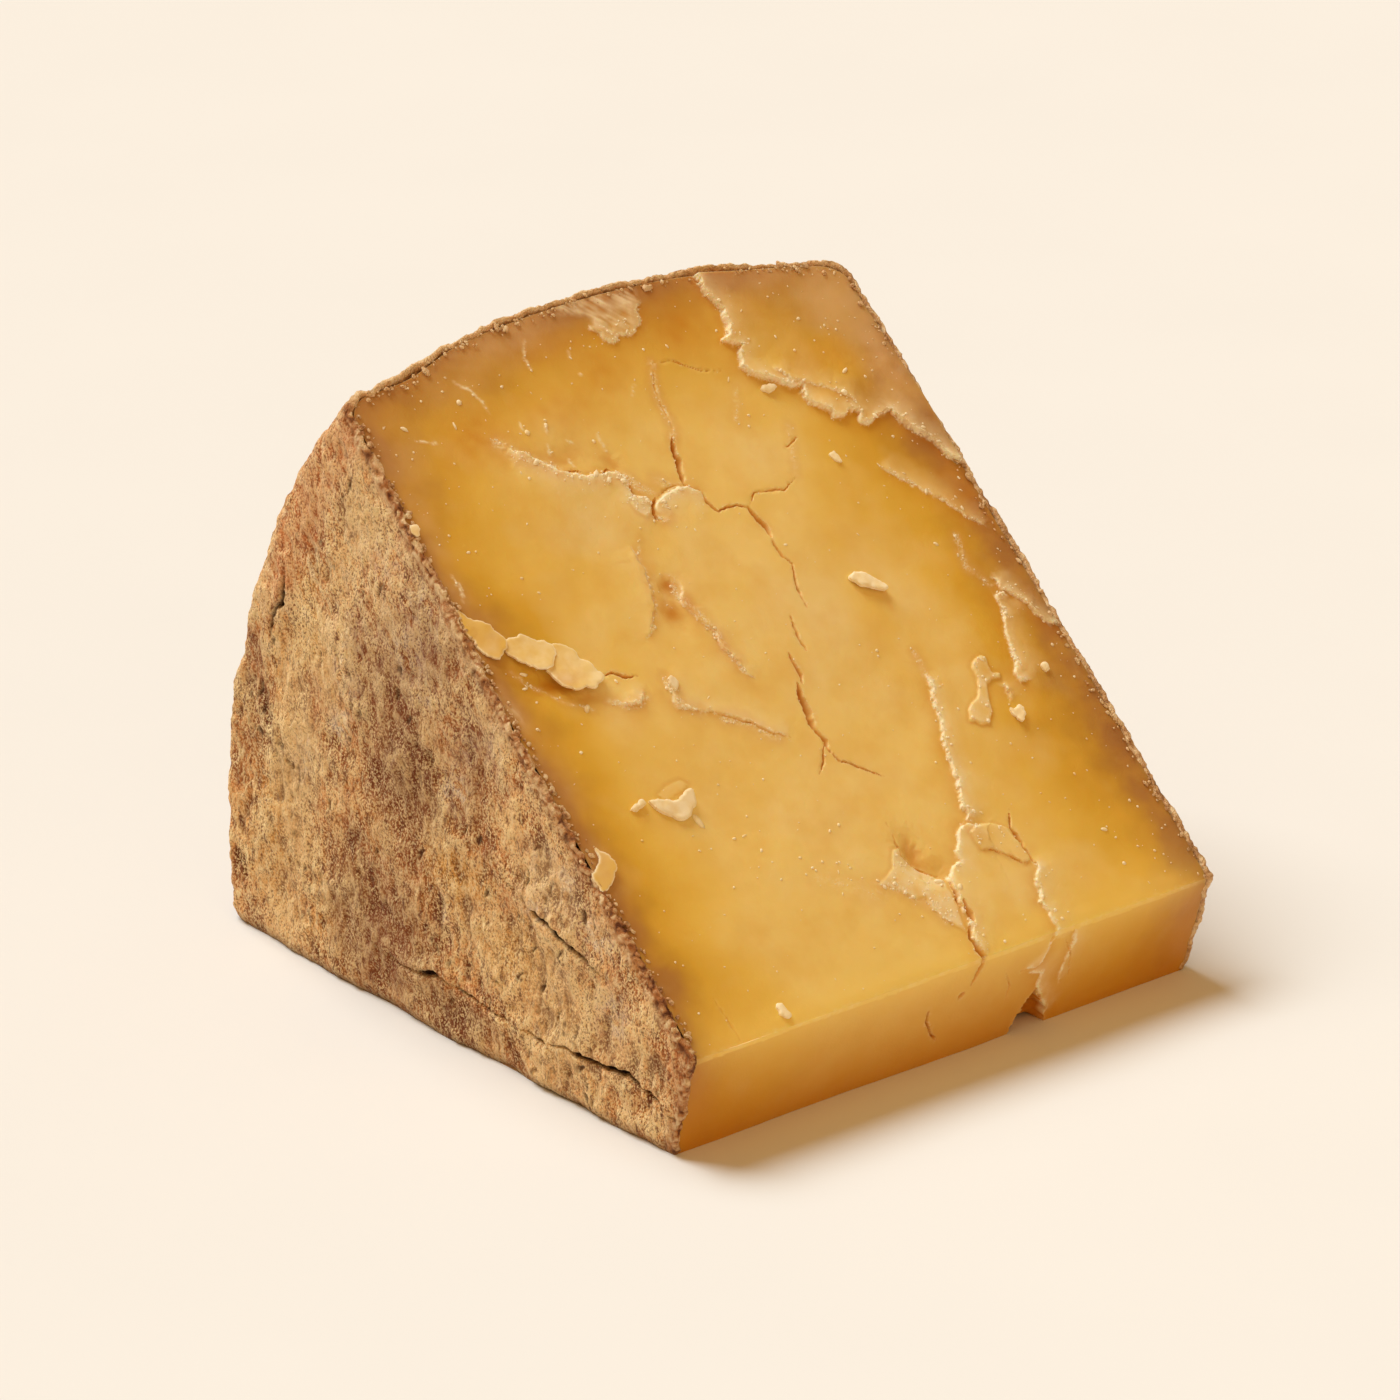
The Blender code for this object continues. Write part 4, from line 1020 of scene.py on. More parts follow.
def paint_paste(made, cream_added=0.0, least_depth=0.0):
    """Marks how far the paste has browned under the rind, where it is creamy, golden or pale, and painted
    light and shade.
    """
    points = wheel_places(made)
    left, right, rim = (np.maximum(depth, 0.3) for depth in skin_depth(points))
    browned = (left**-3 + (0.66 * right) ** -3 + (1.1 * rim) ** -3) ** (-1 / 3)
    browned = np.maximum(browned * (1 + 0.28 * cloud(points, 16, 3, 70)), least_depth)
    spots, height = slope_spots(points)
    front = tip_spots(points)[0]
    by_slope = (height > -6) & (spots[:, 1] > -0.4)
    only_tip = (front[:, 1] < TIP_HEIGHT + 0.4) & (spots[:, 1] < 6) & ~by_slope
    cream, amber, grains, thin = slope_relief(spots)[1] * by_slope + tip_relief(front)[1] * only_tip
    pale = np.maximum(strongest(spots, PALE_PLACES) * by_slope, 0.95 * thin) + 0.3 * cloud(points, 9, 3, 74)
    # Painted highlight: a bright golden strip along the brow, on the slope and the tip, fading near the
    # rinds
    rubbed = by_slope * np.exp(-np.abs(spots[:, 1]) / 4.5)
    rubbed += only_tip * 1.1 * np.exp((front[:, 1] - TIP_HEIGHT) / 4.5)
    rubbed *= 1 - np.exp(-np.minimum(left, right) / 4)
    uneven = np.clip(0.9 + 0.7 * cloud(points, 5, 3, 79), 0, 1.2)
    haze = strongest(spots, HAZY_PLACES) * by_slope * uneven
    up_tip = front[:, 1] / TIP_HEIGHT
    # Painted shade: the tip's colour deepens towards its foot
    foot = only_tip * (1 - 0.85 * up_tip)
    blush = np.exp(-rim / 9) * (1 + 0.4 * cloud(points, 8, 2, 77))
    blush += only_tip * (2.2 * np.exp(-left / 8) + 1.8 * np.exp(-right / 6)) * (1 - 0.6 * up_tip)
    paint(made, browned=browned, cream=cream + cream_added, amber=amber, pale=pale, grains=grains)
    paint(made, rubbed=rubbed, foot=foot, blush=blush, haze=haze)


def make_paste(material):
    rings = paste_points()
    made = mesh_object("comte_paste", rings.reshape(-1, 3), ring_faces(len(rings), rings.shape[1]))
    thinned(made)
    made.data.set_sharp_from_angle(angle=PASTE_CREASE)
    paint_paste(made)
    dress(made, material)


def rind_grid():
    """The rind's shares across, along and up: back over the left face, over the rim, and forwards again."""
    face = np.linspace(0, 1, round(FACE_LENGTH / RIND_STEP))
    turn = np.linspace(0, np.pi / 2, round(SHOULDER_LENGTH / RIND_STEP))
    shoulder = SHOULDER_WIDTH * (1 - np.cos(turn)) / WHEEL_HEIGHT
    inner = WHEEL_HEIGHT - 2 * SHOULDER_WIDTH
    rim = SHOULDER_WIDTH / WHEEL_HEIGHT + inner / WHEEL_HEIGHT * np.linspace(0, 1, round(inner / RIND_STEP))
    over_rim = np.concatenate([shoulder[1:], rim[1:-1], (1 - shoulder[::-1])[:-1]])
    across = np.concatenate([0 * face, over_rim, 0 * face + 1])
    along = np.concatenate([face, 0 * over_rim + 1, face[::-1]])
    up = np.linspace(0, 1, round(RIM_HEIGHT / RIND_STEP))
    return across, along, up


def rind_base():
    """The rind's outer surface before its own relief, in columns from floor to slope."""
    across, along, up = rind_grid()
    columns, rows = len(across), len(up)
    across, along = np.repeat(across, rows), np.repeat(along, rows)
    up = np.tile(up, columns)
    points = wheel_point(across, along, up, 0.0)
    from_side = np.minimum(across, 1 - across) * WHEEL_HEIGHT
    by_side = np.clip(1 - from_side / SHOULDER_WIDTH, 0, 1)
    by_rim = np.clip(1 - (1 - along) * 24, 0, 1)
    side = np.where(across < 0.5, -1, 1)
    from_axis = points[:, 1:] - np.array([0.0, AXIS_HEIGHT])
    from_axis /= np.linalg.norm(from_axis, axis=1, keepdims=True)
    face_swell = np.where(side < 0, swell(points, "left"), swell(points, "right"))
    height = TIP_HEIGHT + (RIM_HEIGHT - TIP_HEIGHT) * along
    by_slope = np.exp(-(1 - up) * height / 2.5)
    by_tip = np.exp(-along * 60)
    rim_swell = swell(points, "rim")
    slope_swell = swell(points, "slope")
    tip_swell = swell(points, "tip")
    points[:, 0] += side * by_side * face_swell
    points[:, 1:] += from_axis * (by_rim * rim_swell)[:, None]
    points += SLOPE_OUT * (by_slope * slope_swell)[:, None]
    points[:, 1] -= by_tip * tip_swell
    points[up == 0, 2] = 0
    return points.reshape(columns, rows, 3)


def outward(grid):
    """Unit directions out of a grid of points, seen from its left-hand side."""
    normal = np.cross(np.gradient(grid, axis=1), np.gradient(grid, axis=0))
    return normal / np.maximum(np.linalg.norm(normal, axis=2, keepdims=True), 1e-9)


def ribs(points):
    """Short ribs across the rind's cut edge, 1 on their crests, broken into crumbs of uneven size."""
    on_face = np.maximum(*side_share(points))[:, None]
    spots, _ = slope_spots(points)
    lead = np.column_stack([spots[:, 0] / 2.6, spots[:, 1] / 0.62, points[:, 2] / 2.6])
    over = np.column_stack([spots[:, 0] / 0.7, spots[:, 1] / 2.4, points[:, 2] / 2.4])
    crest = ripple(lead * on_face + over * (1 - on_face), 80)
    crumbs = np.sqrt(np.clip(1 - (from_dots(points, 0.95, 82) / 0.7) ** 2, 0, 1))
    even = np.clip(0.55 + 0.9 * ripple(points / 11, 86), 0.1, 1)
    crest = 0.42 * even * crest + (0.55 - 0.25 * even) * (crumbs - 0.5)
    return np.clip(0.42 + crest + 0.25 * ripple(points / 2.8, 84), 0, 1)


def side_share(points):
    """How much points belong to the left and to the right face, and not to the rim."""
    left, right, _ = skin_depth(points)
    return eased(2.6, 0.8, left), eased(2.6, 0.8, right)


def rind_relief(points):
    """The rind's relief out from its surface, and its pits, cracks and painted light and shade at each
    point.
    """
    on_left, on_right = side_share(points)
    spots = face_spots(points)
    tall = points * (1.0, 1.0, 0.6)
    lumps = cloud(points, 9, 3, 90)
    folds = 0.5 - np.abs(cloud(tall, 4.6, 2, 94))
    bumps = ripple(points * (1.0, 1.0, 0.7) / 1.5, 97)
    rough = cloud(points, 15, 2, 101) + 0.7 * on_left * in_patch(spots, *ROUGH_PLACE)
    rough = eased(-0.15, 0.45, rough)
    hollows = eased(0.46, 0.12, from_dots(tall, 3.4, 110)) * rough
    pitted = np.clip(1 - from_dots(points * (1.0, 1.25, 0.7), 2.3, 104) / 0.3, 0, 1) * rough
    pitted = np.maximum(pitted, placed_pits(spots) * on_left)
    relief = 0.45 * lumps + (0.46 + 0.42 * rough) * folds + 0.3 * bumps + 0.13 * ripple(points / 0.7, 98)
    relief -= 0.45 * hollows + 0.6 * pitted
    grooves = rind_grooves(spots, on_left, LEFT_CRACKS, 60) + rind_grooves(spots, on_right, RIGHT_CRACKS, 64)
    # Painted highlight and shade: the relief again, paler on the higher parts and darker in the hollows
    raised = 0.5 * lumps + (1.0 + 0.7 * rough) * folds - 0.15 * rough + 0.45 * bumps - 1.1 * hollows
    return relief + grooves, pitted, np.clip(-grooves, 0, 1), raised


def placed_pits(spots):
    """Long pits at their own places, each a little different."""
    draw = np.random.default_rng(SEED + 6)
    pitted = np.zeros(len(spots))
    for middle in LEFT_PITS:
        wide, tall, lean, deep = draw.uniform((0.3, 0.7, -0.6, 0.5), (0.75, 1.9, 0.2, 1.2))
        near = np.flatnonzero((np.abs(spots - middle) < 4).all(axis=1))
        here = np.column_stack([spots[near], 0 * near])
        offset = spots[near] - middle + 0.5 * np.column_stack([cloud(here, 1.3, 2, way) for way in (1, 4)])
        across = offset[:, 0] - lean * offset[:, 1]
        inner = 1 - (across / wide) ** 2 - (offset[:, 1] / tall) ** 2
        pitted[near] = np.maximum(pitted[near], np.clip(deep * inner, 0, 1))
    return pitted


def rind_grooves(spots, share, cracks, layer):
    """Cracks of one flat rind, with the rind heaved up along them."""
    face = Surface(spots, layer)
    for crack in cracks.values():
        face.crack(*crack)
        near, gap, _ = near_route(face.bent, crack[0], 6)
        face.height[near] += 0.28 * bell(gap - 1.1, 1.2)
    return (face.height - face.carved) * share


def cut_edge(points, by_slope, by_tip):
    """How near points are to the rind's cut edge, within reaches below the slope and behind the tip."""
    below = np.maximum(-slope_spots(points)[1], 0)
    behind = np.maximum(-tip_spots(points)[1], 0)
    return np.maximum(bell(below, by_slope), bell(behind, by_tip))


def rind_points():
    """The rind's outer surface with its relief, crumbly at the cut edges and drawn in at the floor."""
    grid = rind_base()
    flat = grid.reshape(-1, 3)
    relief = rind_relief(flat)[0]
    by_edge = cut_edge(flat, 1.6, 1.2)
    crumbly = 0.75 * ribs(flat) - 0.3 + 0.3 * ripple(flat / 3.1, 111)
    relief = relief * (1 - 0.6 * by_edge) + crumbly * by_edge
    tucked = np.clip(1 - flat[:, 2] / 2.2, 0, 1) ** 2 * (0.7 + 0.5 * ripple(flat / 7, 113))
    relief = relief * np.clip(0.25 + flat[:, 2] / 2.5, 0, 1) - tucked
    moved = grid + outward(grid) * relief.reshape(grid.shape[:2])[..., None]
    moved[:, 0, 2] = 0
    return moved


def inward_way(edge, out):
    """Directions across a cut face, away from an edge that has that face on its right."""
    tangent = np.gradient(edge, axis=0)
    window = np.ones(EDGE_WINDOW) / EDGE_WINDOW
    smooth = [np.convolve(np.pad(part, EDGE_WINDOW // 2, "edge"), window, "valid") for part in tangent.T]
    way = np.cross(np.stack(smooth, axis=1), out)
    return way / np.linalg.norm(way, axis=1, keepdims=True)


def folded_band(edge, way, out, reach):
    """Rows that carry an edge on over the cut face, as a crumbly ridge that then dives under the paste."""
    rows = []
    for width in BAND_ROWS:
        row = edge + way * width
        far = reach * (1 + 0.3 * ripple(row / 4.5, 119) + 0.25 * ripple(row / 1.6, 120))
        far += 0.15 * ripple(row / 0.7, 122)
        ridge = (0.05 + 0.55 * ribs(row) + 0.2 * ripple(row / 2.3, 124)) * eased(0, 0.4, width)
        ridge *= 0.6 + 0.4 * side_share(row)[0]
        height = ridge * (1 - eased(far - 0.5, far, width)) - BAND_DIVE * eased(far - 0.25, far + 0.9, width)
        rows.append(row + out * height[:, None])
    return np.array(rows)


def folded_rind(grid):
    """The rind's surface, folded over the cut faces and the floor: points, and their numbers by place."""
    columns, rows, _ = grid.shape
    band = len(BAND_ROWS)
    reach = np.interp(np.arange(columns) / columns, *BAND_REACH)
    slope_edge, floor_edge = grid[:, -1], grid[:, 0]
    corner_out = (SLOPE_OUT + TIP_OUT) / np.linalg.norm(SLOPE_OUT + TIP_OUT)
    at_brow = bell(np.minimum(np.arange(columns), np.arange(columns)[::-1]) * RIND_STEP, 1.2)[:, None]
    slope_out = SLOPE_OUT * (1 - at_brow) + corner_out * at_brow
    over = folded_band(slope_edge, inward_way(slope_edge, SLOPE_OUT), slope_out, reach)
    under = np.array([floor_edge - inward_way(floor_edge, FLOOR_OUT) * width for width in FLOOR_ROWS])
    under[-1, :, 2] += FLOOR_TUCK

    points = np.full((columns + 2 * band, rows + band + len(FLOOR_ROWS), 3), np.nan)
    first_row = len(FLOOR_ROWS)
    last_row = first_row + rows - 1
    points[band:-band, first_row : last_row + 1] = grid
    points[band:-band, last_row + 1 :] = over.transpose(1, 0, 2)
    points[band:-band, :first_row] = under[::-1].transpose(1, 0, 2)
    number = np.arange(points.shape[0] * points.shape[1]).reshape(points.shape[:2])

    up_tip = np.arange(rows) / (rows - 1)
    to_brow = bell((1 - up_tip) * TIP_HEIGHT, 1.2)[:, None]
    tip_out = TIP_OUT * (1 - to_brow) + corner_out * to_brow
    for column, step, sign in ((0, -1, 1), (columns - 1, 1, -1)):
        edge = grid[column]
        way = sign * inward_way(edge, TIP_OUT)
        way = way * (1 - to_brow) + inward_way(slope_edge, SLOPE_OUT)[column] * to_brow
        front = folded_band(edge, way, tip_out, reach[column])
        front[:, :, 2] = np.maximum(front[:, :, 2], 0)
        for index, row in enumerate(front):
            place = band + column + step * (index + 1)
            points[place, first_row : last_row + 1] = row
            number[place, last_row] = number[band + column, last_row + 1 + index]
    number[np.isnan(points[..., 0])] = -1
    return points.reshape(-1, 3), number


def make_rind(material):
    """The three rinds as one skin."""
    points, number = folded_rind(rind_points())
    corners = [number[:-1, :-1], number[:-1, 1:], number[1:, 1:], number[1:, :-1]]
    quads = np.stack(corners, axis=-1).reshape(-1, 4)
    used, packed = np.unique(quads[(quads >= 0).all(axis=1)], return_inverse=True)
    made = mesh_object("comte_rind", points[used], packed.reshape(-1, 4).tolist())
    thinned(made)
    paint_rind(made)
    dress(made, material)


def paint_rind(made):
    """Marks the rind's stains, bloom, ochre and pits, and its painted shade and highlight: on its relief, at
    its foot and on its cut edge.
    """
    points = wheel_places(made)
    on_left, on_right = side_share(points)
    _, pits, cracks, raised = rind_relief(points)
    spots = face_spots(points)
    wander = np.column_stack([cloud(points, 9, 3, layer) for layer in (130, 134)])
    for layer, (name, patches, elsewhere) in enumerate(RIND_MARKS):
        anywhere = elsewhere * eased(0.1, 0.7, cloud(points, 24, 3, 140 + 4 * layer))
        mark = strongest(spots + 2.4 * wander, patches)
        paint(made, **{name: mark * on_left + anywhere * (1 - on_left)})
    shade = sum(strength * in_patch(spots + 1.5 * wander, *place) for *place, strength in LEFT_SHADES)
    shade = shade * on_left + (0.6 * cloud(points, 30, 2, 160) - 0.25) * (1 - on_left)
    rim = skin_depth(points)[2]
    shoulder = bell(rim - 3.0, 4.5) * on_left * eased(45, 80, points[:, 2])
    # Painted contact shadow: darker within a few millimetres of the floor
    foot = np.clip(1 - points[:, 2] / 3.5, 0, 1)
    high = eased(38, 62, points[:, 2]) * on_left
    paint(made, pits=pits, cracks=cracks, raised=raised)
    paint(made, shade=shade, shoulder=shoulder, foot=foot, high=high)
    # Painted highlight: rim marks where the cut edge takes its paler lit colours, fully on the rim and
    # partly on the right rind
    paint(made, edge=cut_edge(points, 1.5, 1.4), rib=ribs(points), rim=1 - on_left - 0.4 * on_right)


def ball(subdivisions):
    """Corners and faces of a round ball of radius one."""
    shape = bmesh.new()
    bmesh.ops.create_icosphere(shape, subdivisions=subdivisions, radius=1.0)
    corners = np.array([vert.co[:] for vert in shape.verts])
    faces = np.array([[vert.index for vert in face.verts] for face in shape.faces])
    shape.free()
    return corners, faces


def scattered(name, middles, radii, longer, layer):
    """Lumpy crumbs that lie on the slope, each turned its own way and flattened towards it."""
    draw = np.random.default_rng(SEED + layer)
    corners, faces = ball(2)
    count = len(middles)
    stretch = draw.uniform(0.7, 1.25, (count, 1, 3)) * np.array([1.0, 1.0, 0.5])
    stretch[:, 0, 0] *= longer
    shapes = corners * stretch
    apart = np.arange(count)[:, None, None]
    lumpy = 1 + 0.3 * ripple((corners + apart * 3.1).reshape(-1, 3) * 1.4, layer)
    shapes = shapes * lumpy.reshape(count, -1, 1) * radii[:, None, None]
    turn = draw.uniform(0, 2 * np.pi, count)[:, None]
    across = shapes[:, :, 0] * np.cos(turn) - shapes[:, :, 1] * np.sin(turn)
    along = shapes[:, :, 0] * np.sin(turn) + shapes[:, :, 1] * np.cos(turn)
    over = shapes[:, :, 2] + 0.06 * radii[:, None]
    section = along[..., None] * SLOPE_WAY + over[..., None] * SLOPE_OUT[1:]
    points = middles[:, None] + np.concatenate([across[..., None], section], axis=2)
    numbers = (faces + apart * len(corners)).reshape(-1, 3)
    return mesh_object(name, points.reshape(-1, 3), numbers.tolist())


def torn(outline, jag, layer):
    """A closed outline with its corners cut, then made ragged."""
    draw = np.random.default_rng(SEED + layer)
    outline = np.asarray(outline, float)
    after = np.roll(outline, -1, axis=0)
    outline = np.stack([0.8 * outline + 0.2 * after, 0.2 * outline + 0.8 * after], axis=1).reshape(-1, 2)
    for spacing, share in ((0.65, 1.0), (0.24, 0.35)):
        sides = np.hypot(*(np.roll(outline, -1, axis=0) - outline).T)
        passed = np.concatenate([[0], np.cumsum(sides)])
        ring = np.concatenate([outline, outline[:1]])
        way = np.linspace(0, passed[-1], max(12, round(passed[-1] / spacing)), endpoint=False)
        outline = np.column_stack([np.interp(way, passed, ring[:, axis]) for axis in (0, 1)])
        outline += jag * share * draw.uniform(-1, 1, outline.shape)
    return outline


def nearest_on(spots, outline):
    """The nearest places on a closed outline, and how far away they are."""
    legs = np.roll(outline, -1, axis=0) - outline
    offset = spots[:, None] - outline
    way = np.clip((offset * legs).sum(axis=2) / (legs**2).sum(axis=1), 0, 1)
    places = outline + way[..., None] * legs
    gaps = np.linalg.norm(spots[:, None] - places, axis=2)
    best = gaps.argmin(axis=1)
    index = np.arange(len(spots))
    return places[index, best], gaps[index, best]


def chip_sheet(outline):
    """A fine net of squares in an outline: its spots, squares, steps of edge, and distances to the edge."""
    low = outline.min(axis=0) - CHIP_STEP
    counts = np.ceil((outline.max(axis=0) - low) / CHIP_STEP).astype(int) + 2
    steps = np.stack(np.meshgrid(np.arange(counts[0]), np.arange(counts[1]), indexing="ij"), axis=-1)
    spots = low + steps * CHIP_STEP
    kept = inside((spots[:-1, :-1] + CHIP_STEP / 2).reshape(-1, 2), outline).reshape(counts - 1)
    number = np.arange(counts[0] * counts[1]).reshape(counts)
    corners = [number[:-1, :-1], number[1:, :-1], number[1:, 1:], number[:-1, 1:]]
    squares = np.stack(corners, axis=-1)[kept]
    padded = np.pad(kept, 1)
    walls = []
    for (x, y), (start, end) in (((0, -1), (0, 1)), ((1, 0), (1, 2)), ((0, 1), (2, 3)), ((-1, 0), (3, 0))):
        beside = padded[1 + x : padded.shape[0] - 1 + x, 1 + y : padded.shape[1] - 1 + y]
        open_side = kept & ~beside
        walls.append(np.column_stack([corners[start][open_side], corners[end][open_side]]))
    walls = np.concatenate(walls)
    used, packed = np.unique(squares, return_inverse=True)
    spots = spots.reshape(-1, 2)[used]
    place = np.zeros(number.size, int)
    place[used] = np.arange(len(used))
    edge = np.unique(place[walls])
    spots[edge], _ = nearest_on(spots[edge], outline)
    _, depth = nearest_on(spots, outline)
    return spots, packed.reshape(-1, 4), place[walls], depth


def chip_body(outline, thickness, height, lift, facing, layer):
    """A thin chip over the slope, lifted on one side: points, faces and distances to its edge."""
    outline = torn(outline, 0.2, layer)
    spots, squares, walls, depth = chip_sheet(outline)
    facing = np.asarray(facing) / np.hypot(*facing)
    reach = spots @ facing
    share = (reach - reach.min()) / np.ptp(reach)
    places = np.column_stack([spots, np.full(len(spots), layer)])
    under = height + lift * share**1.5 + 0.1 * ripple(places / 2.4, layer)
    swollen = thickness * (0.75 + 0.25 * np.clip(depth / 0.3, 0, 1))
    facets = 0.16 * np.abs(ripple(places / 2.6, layer + 1)) + 0.04 * ripple(places / 0.9, layer + 2)
    top = under + swollen + thickness * facets
    count = len(spots)
    points = np.concatenate([slope_place(spots, top), slope_place(spots, under)])
    below = squares[:, ::-1] + count
    sides = np.column_stack([walls[:, 0], walls[:, 0] + count, walls[:, 1] + count, walls[:, 1]])
    faces = np.concatenate([squares, below, sides])
    return points, faces, np.concatenate([depth, depth])


def make_flakes(material):
    """Every loose chip on the slope, as one piece."""
    points, faces, cream = [], [], []
    count = 0
    for index, (*shape, paleness) in enumerate(CHIPS.values()):
        corners, squares, depth = chip_body(*shape, 150 + 3 * index)
        corners = on_swell(corners)
        points.append(corners)
        faces.append(squares + count)
        mottled = np.clip(paleness + 0.16 * cloud(corners, 3.2, 2, 156), 0, 1)
        cream.append(mottled + (1 - paleness) * 0.9 * bell(depth, 0.2))
        count += len(corners)
    made = mesh_object("comte_flakes", np.concatenate(points), np.concatenate(faces).tolist())
    made.data.set_sharp_from_angle(angle=CHIP_CREASE)
    paint_paste(made, cream_added=np.concatenate(cream), least_depth=FLAKE_DEPTH)
    dress(made, material)


def chosen(weights, count, draw):
    return draw.choice(len(weights), size=count, replace=False, p=weights / weights.sum())


def make_crumbs(material):
    """Crystals and crumbs of paste, mostly where the slope is torn."""
    draw = np.random.default_rng(SEED + 2)
    spots = draw.uniform(CRUMBS_FROM, CRUMBS_TO, (CRUMB_TRIES, 2))
    height, (cream, _, grains, _) = slope_relief(spots)
    depth = np.min(skin_depth(slope_place(spots, height)), axis=0)
    weights = 0.4 * cream**2 + 0.7 * grains**2 + 0.02 * np.exp(-depth / 3) + 0.0012
    weights[depth < 1.6] = 0
    spots = np.concatenate([spots[chosen(weights, CRUMB_COUNT, draw)], SLOPE_SPECKS])
    count = len(spots)
    ground = on_swell(slope_place(spots, slope_relief(spots)[0]))
    radii = np.clip(draw.lognormal(math.log(CRUMB_RADIUS), RADIUS_SPREAD, count), 0.06, 0.5)
    radii[CRUMB_COUNT:] = draw.uniform(*SPECK_RADII, len(SLOPE_SPECKS))
    longer = np.where(draw.random(count) < 0.2, draw.uniform(1.4, 2.6, count), 1.0)
    made = scattered("comte_crumbs", ground, radii, longer, 3)
    paint_paste(made, cream_added=np.repeat(draw.uniform(0.5, 1.0, count), len(ball(2)[0])))
    dress(made, material)


def make_rind_crumbs(material):
    """Crumbs of rind along its cut edge over the slope."""
    draw = np.random.default_rng(SEED + 4)
    count = RIND_CRUMB_COUNT
    side = draw.choice(3, size=count, p=RIND_CRUMB_SIDES)
    way = draw.uniform(0, 1, count)
    depth = np.abs(draw.normal(1.5, 0.45, count))
    across = np.where(side == 0, 0.0, np.where(side == 2, 1.0, 0.04 + 0.92 * way))
    along = np.where(side == 1, 1.0, way)
    radius = rim_radius(across, np.ones(count))
    section = section_point(along, np.ones(count), radius - np.where(side == 1, depth, 0))
    left, right = flat_sides(section[:, 0], section[:, 1], radius)
    sideways = np.where(side == 0, depth, np.where(side == 2, -depth, 0))
    points = np.column_stack([left + (right - left) * across + sideways, section])
    points = on_swell(points, RIND_CRUMB_LIFT)
    radii = np.clip(draw.lognormal(math.log(RIND_CRUMB_RADIUS), RADIUS_SPREAD, count), 0.08, 0.6)
    made = scattered("comte_rind_crumbs", points, radii, draw.uniform(0.8, 1.6, count), 5)
    paint_rind(made)
    dress(made, material)


def tint(red, green, blue):
    """A colour from the three bytes that a screen shows it with."""
    shown = np.array([red, green, blue]) / 255
    linear = np.where(shown <= 0.04045, shown / 12.92, ((shown + 0.055) / 1.055) ** 2.4)
    return (*linear.tolist(), 1.0)


class Graph:
    """The nodes of one material, with its shader and short ways to add and join the others."""

    def __init__(self, name):
        self.material = bpy.data.materials.new(name)
        self.material.use_nodes = True
        self.tree = self.material.node_tree
        self.shader = self.tree.nodes["Principled BSDF"]
        self.place = self.tree.nodes.new("ShaderNodeTexCoord").outputs["Object"]

    def join(self, value, socket):
        if isinstance(value, bpy.types.NodeSocket):
            self.tree.links.new(value, socket)
        else:
            socket.default_value = value

    def mark(self, name):
        node = self.tree.nodes.new("ShaderNodeAttribute")
        node.attribute_name = name
        return node.outputs["Fac"]

    def noise(self, size, detail=3.0, stretch=(1.0, 1.0, 1.0), roughness=0.5, lean=0.0):
        """Noise of a size in millimetres, drawn out along the axes whose stretch is below one, on a lean."""
        mapping = self.tree.nodes.new("ShaderNodeMapping")
        mapping.vector_type = "TEXTURE"
        mapping.inputs["Scale"].default_value = [1 / share for share in stretch]
        mapping.inputs["Rotation"].default_value = (lean, 0.0, 0.0)
        self.join(self.place, mapping.inputs["Vector"])
        node = self.tree.nodes.new("ShaderNodeTexNoise")
        self.join(mapping.outputs["Vector"], node.inputs["Vector"])
        node.inputs["Scale"].default_value = 1 / (size * MM)
        node.inputs["Detail"].default_value = detail
        node.inputs["Roughness"].default_value = roughness
        return node.outputs["Fac"]

    def sum(self, operation, first, second=0.0, third=0.0, clamp=False):
        node = self.tree.nodes.new("ShaderNodeMath")
        node.operation = operation
        node.use_clamp = clamp
        for value, socket in zip((first, second, third), node.inputs):
            self.join(value, socket)
        return node.outputs["Value"]

    def spread(self, value, low, high, to_low=0.0, to_high=1.0):
        """A value's range, stretched to another and kept within it."""
        node = self.tree.nodes.new("ShaderNodeMapRange")
        node.clamp = True
        for number, socket in zip((value, low, high, to_low, to_high), node.inputs):
            self.join(number, socket)
        return node.outputs["Result"]

    def ramp(self, value, stops):
        node = self.tree.nodes.new("ShaderNodeValToRGB")
        self.join(value, node.inputs["Fac"])
        elements = node.color_ramp.elements
        for index, (place, shown) in enumerate(stops):
            element = elements[index] if index < 2 else elements.new(place)
            element.position = place
            element.color = tint(*shown)
        return node.outputs["Color"]

    def blend(self, share, base, over):
        node = self.tree.nodes.new("ShaderNodeMix")
        node.data_type = "RGBA"
        self.join(share, node.inputs["Factor"])
        self.join(base, node.inputs[6])
        self.join(over, node.inputs[7])
        return node.outputs[2]

    def lay(self, colour, source, low, high, most, shown):
        """A colour laid over another where a value, or the mark of a name, goes from low to high."""
        value = self.mark(source) if isinstance(source, str) else source
        return self.blend(self.spread(value, low, high, 0.0, most), colour, tint(*shown))

    def lay_all(self, colour, layers):
        for layer in layers:
            colour = self.lay(colour, *layer)
        return colour

    def bump(self, height, distance, strength=1.0):
        """A fine relief of a depth in millimetres."""
        node = self.tree.nodes.new("ShaderNodeBump")
        node.inputs["Strength"].default_value = strength
        node.inputs["Distance"].default_value = distance * MM
        self.join(height, node.inputs["Height"])
        self.join(node.outputs["Normal"], self.shader.inputs["Normal"])

    def glow_through(self, weight, reach, radii):
        """Light through the surface: its share, its reach, and how much of that each colour goes."""
        self.shader.inputs["Subsurface Weight"].default_value = weight
        self.shader.inputs["Subsurface Radius"].default_value = radii
        self.shader.inputs["Subsurface Scale"].default_value = reach * MM


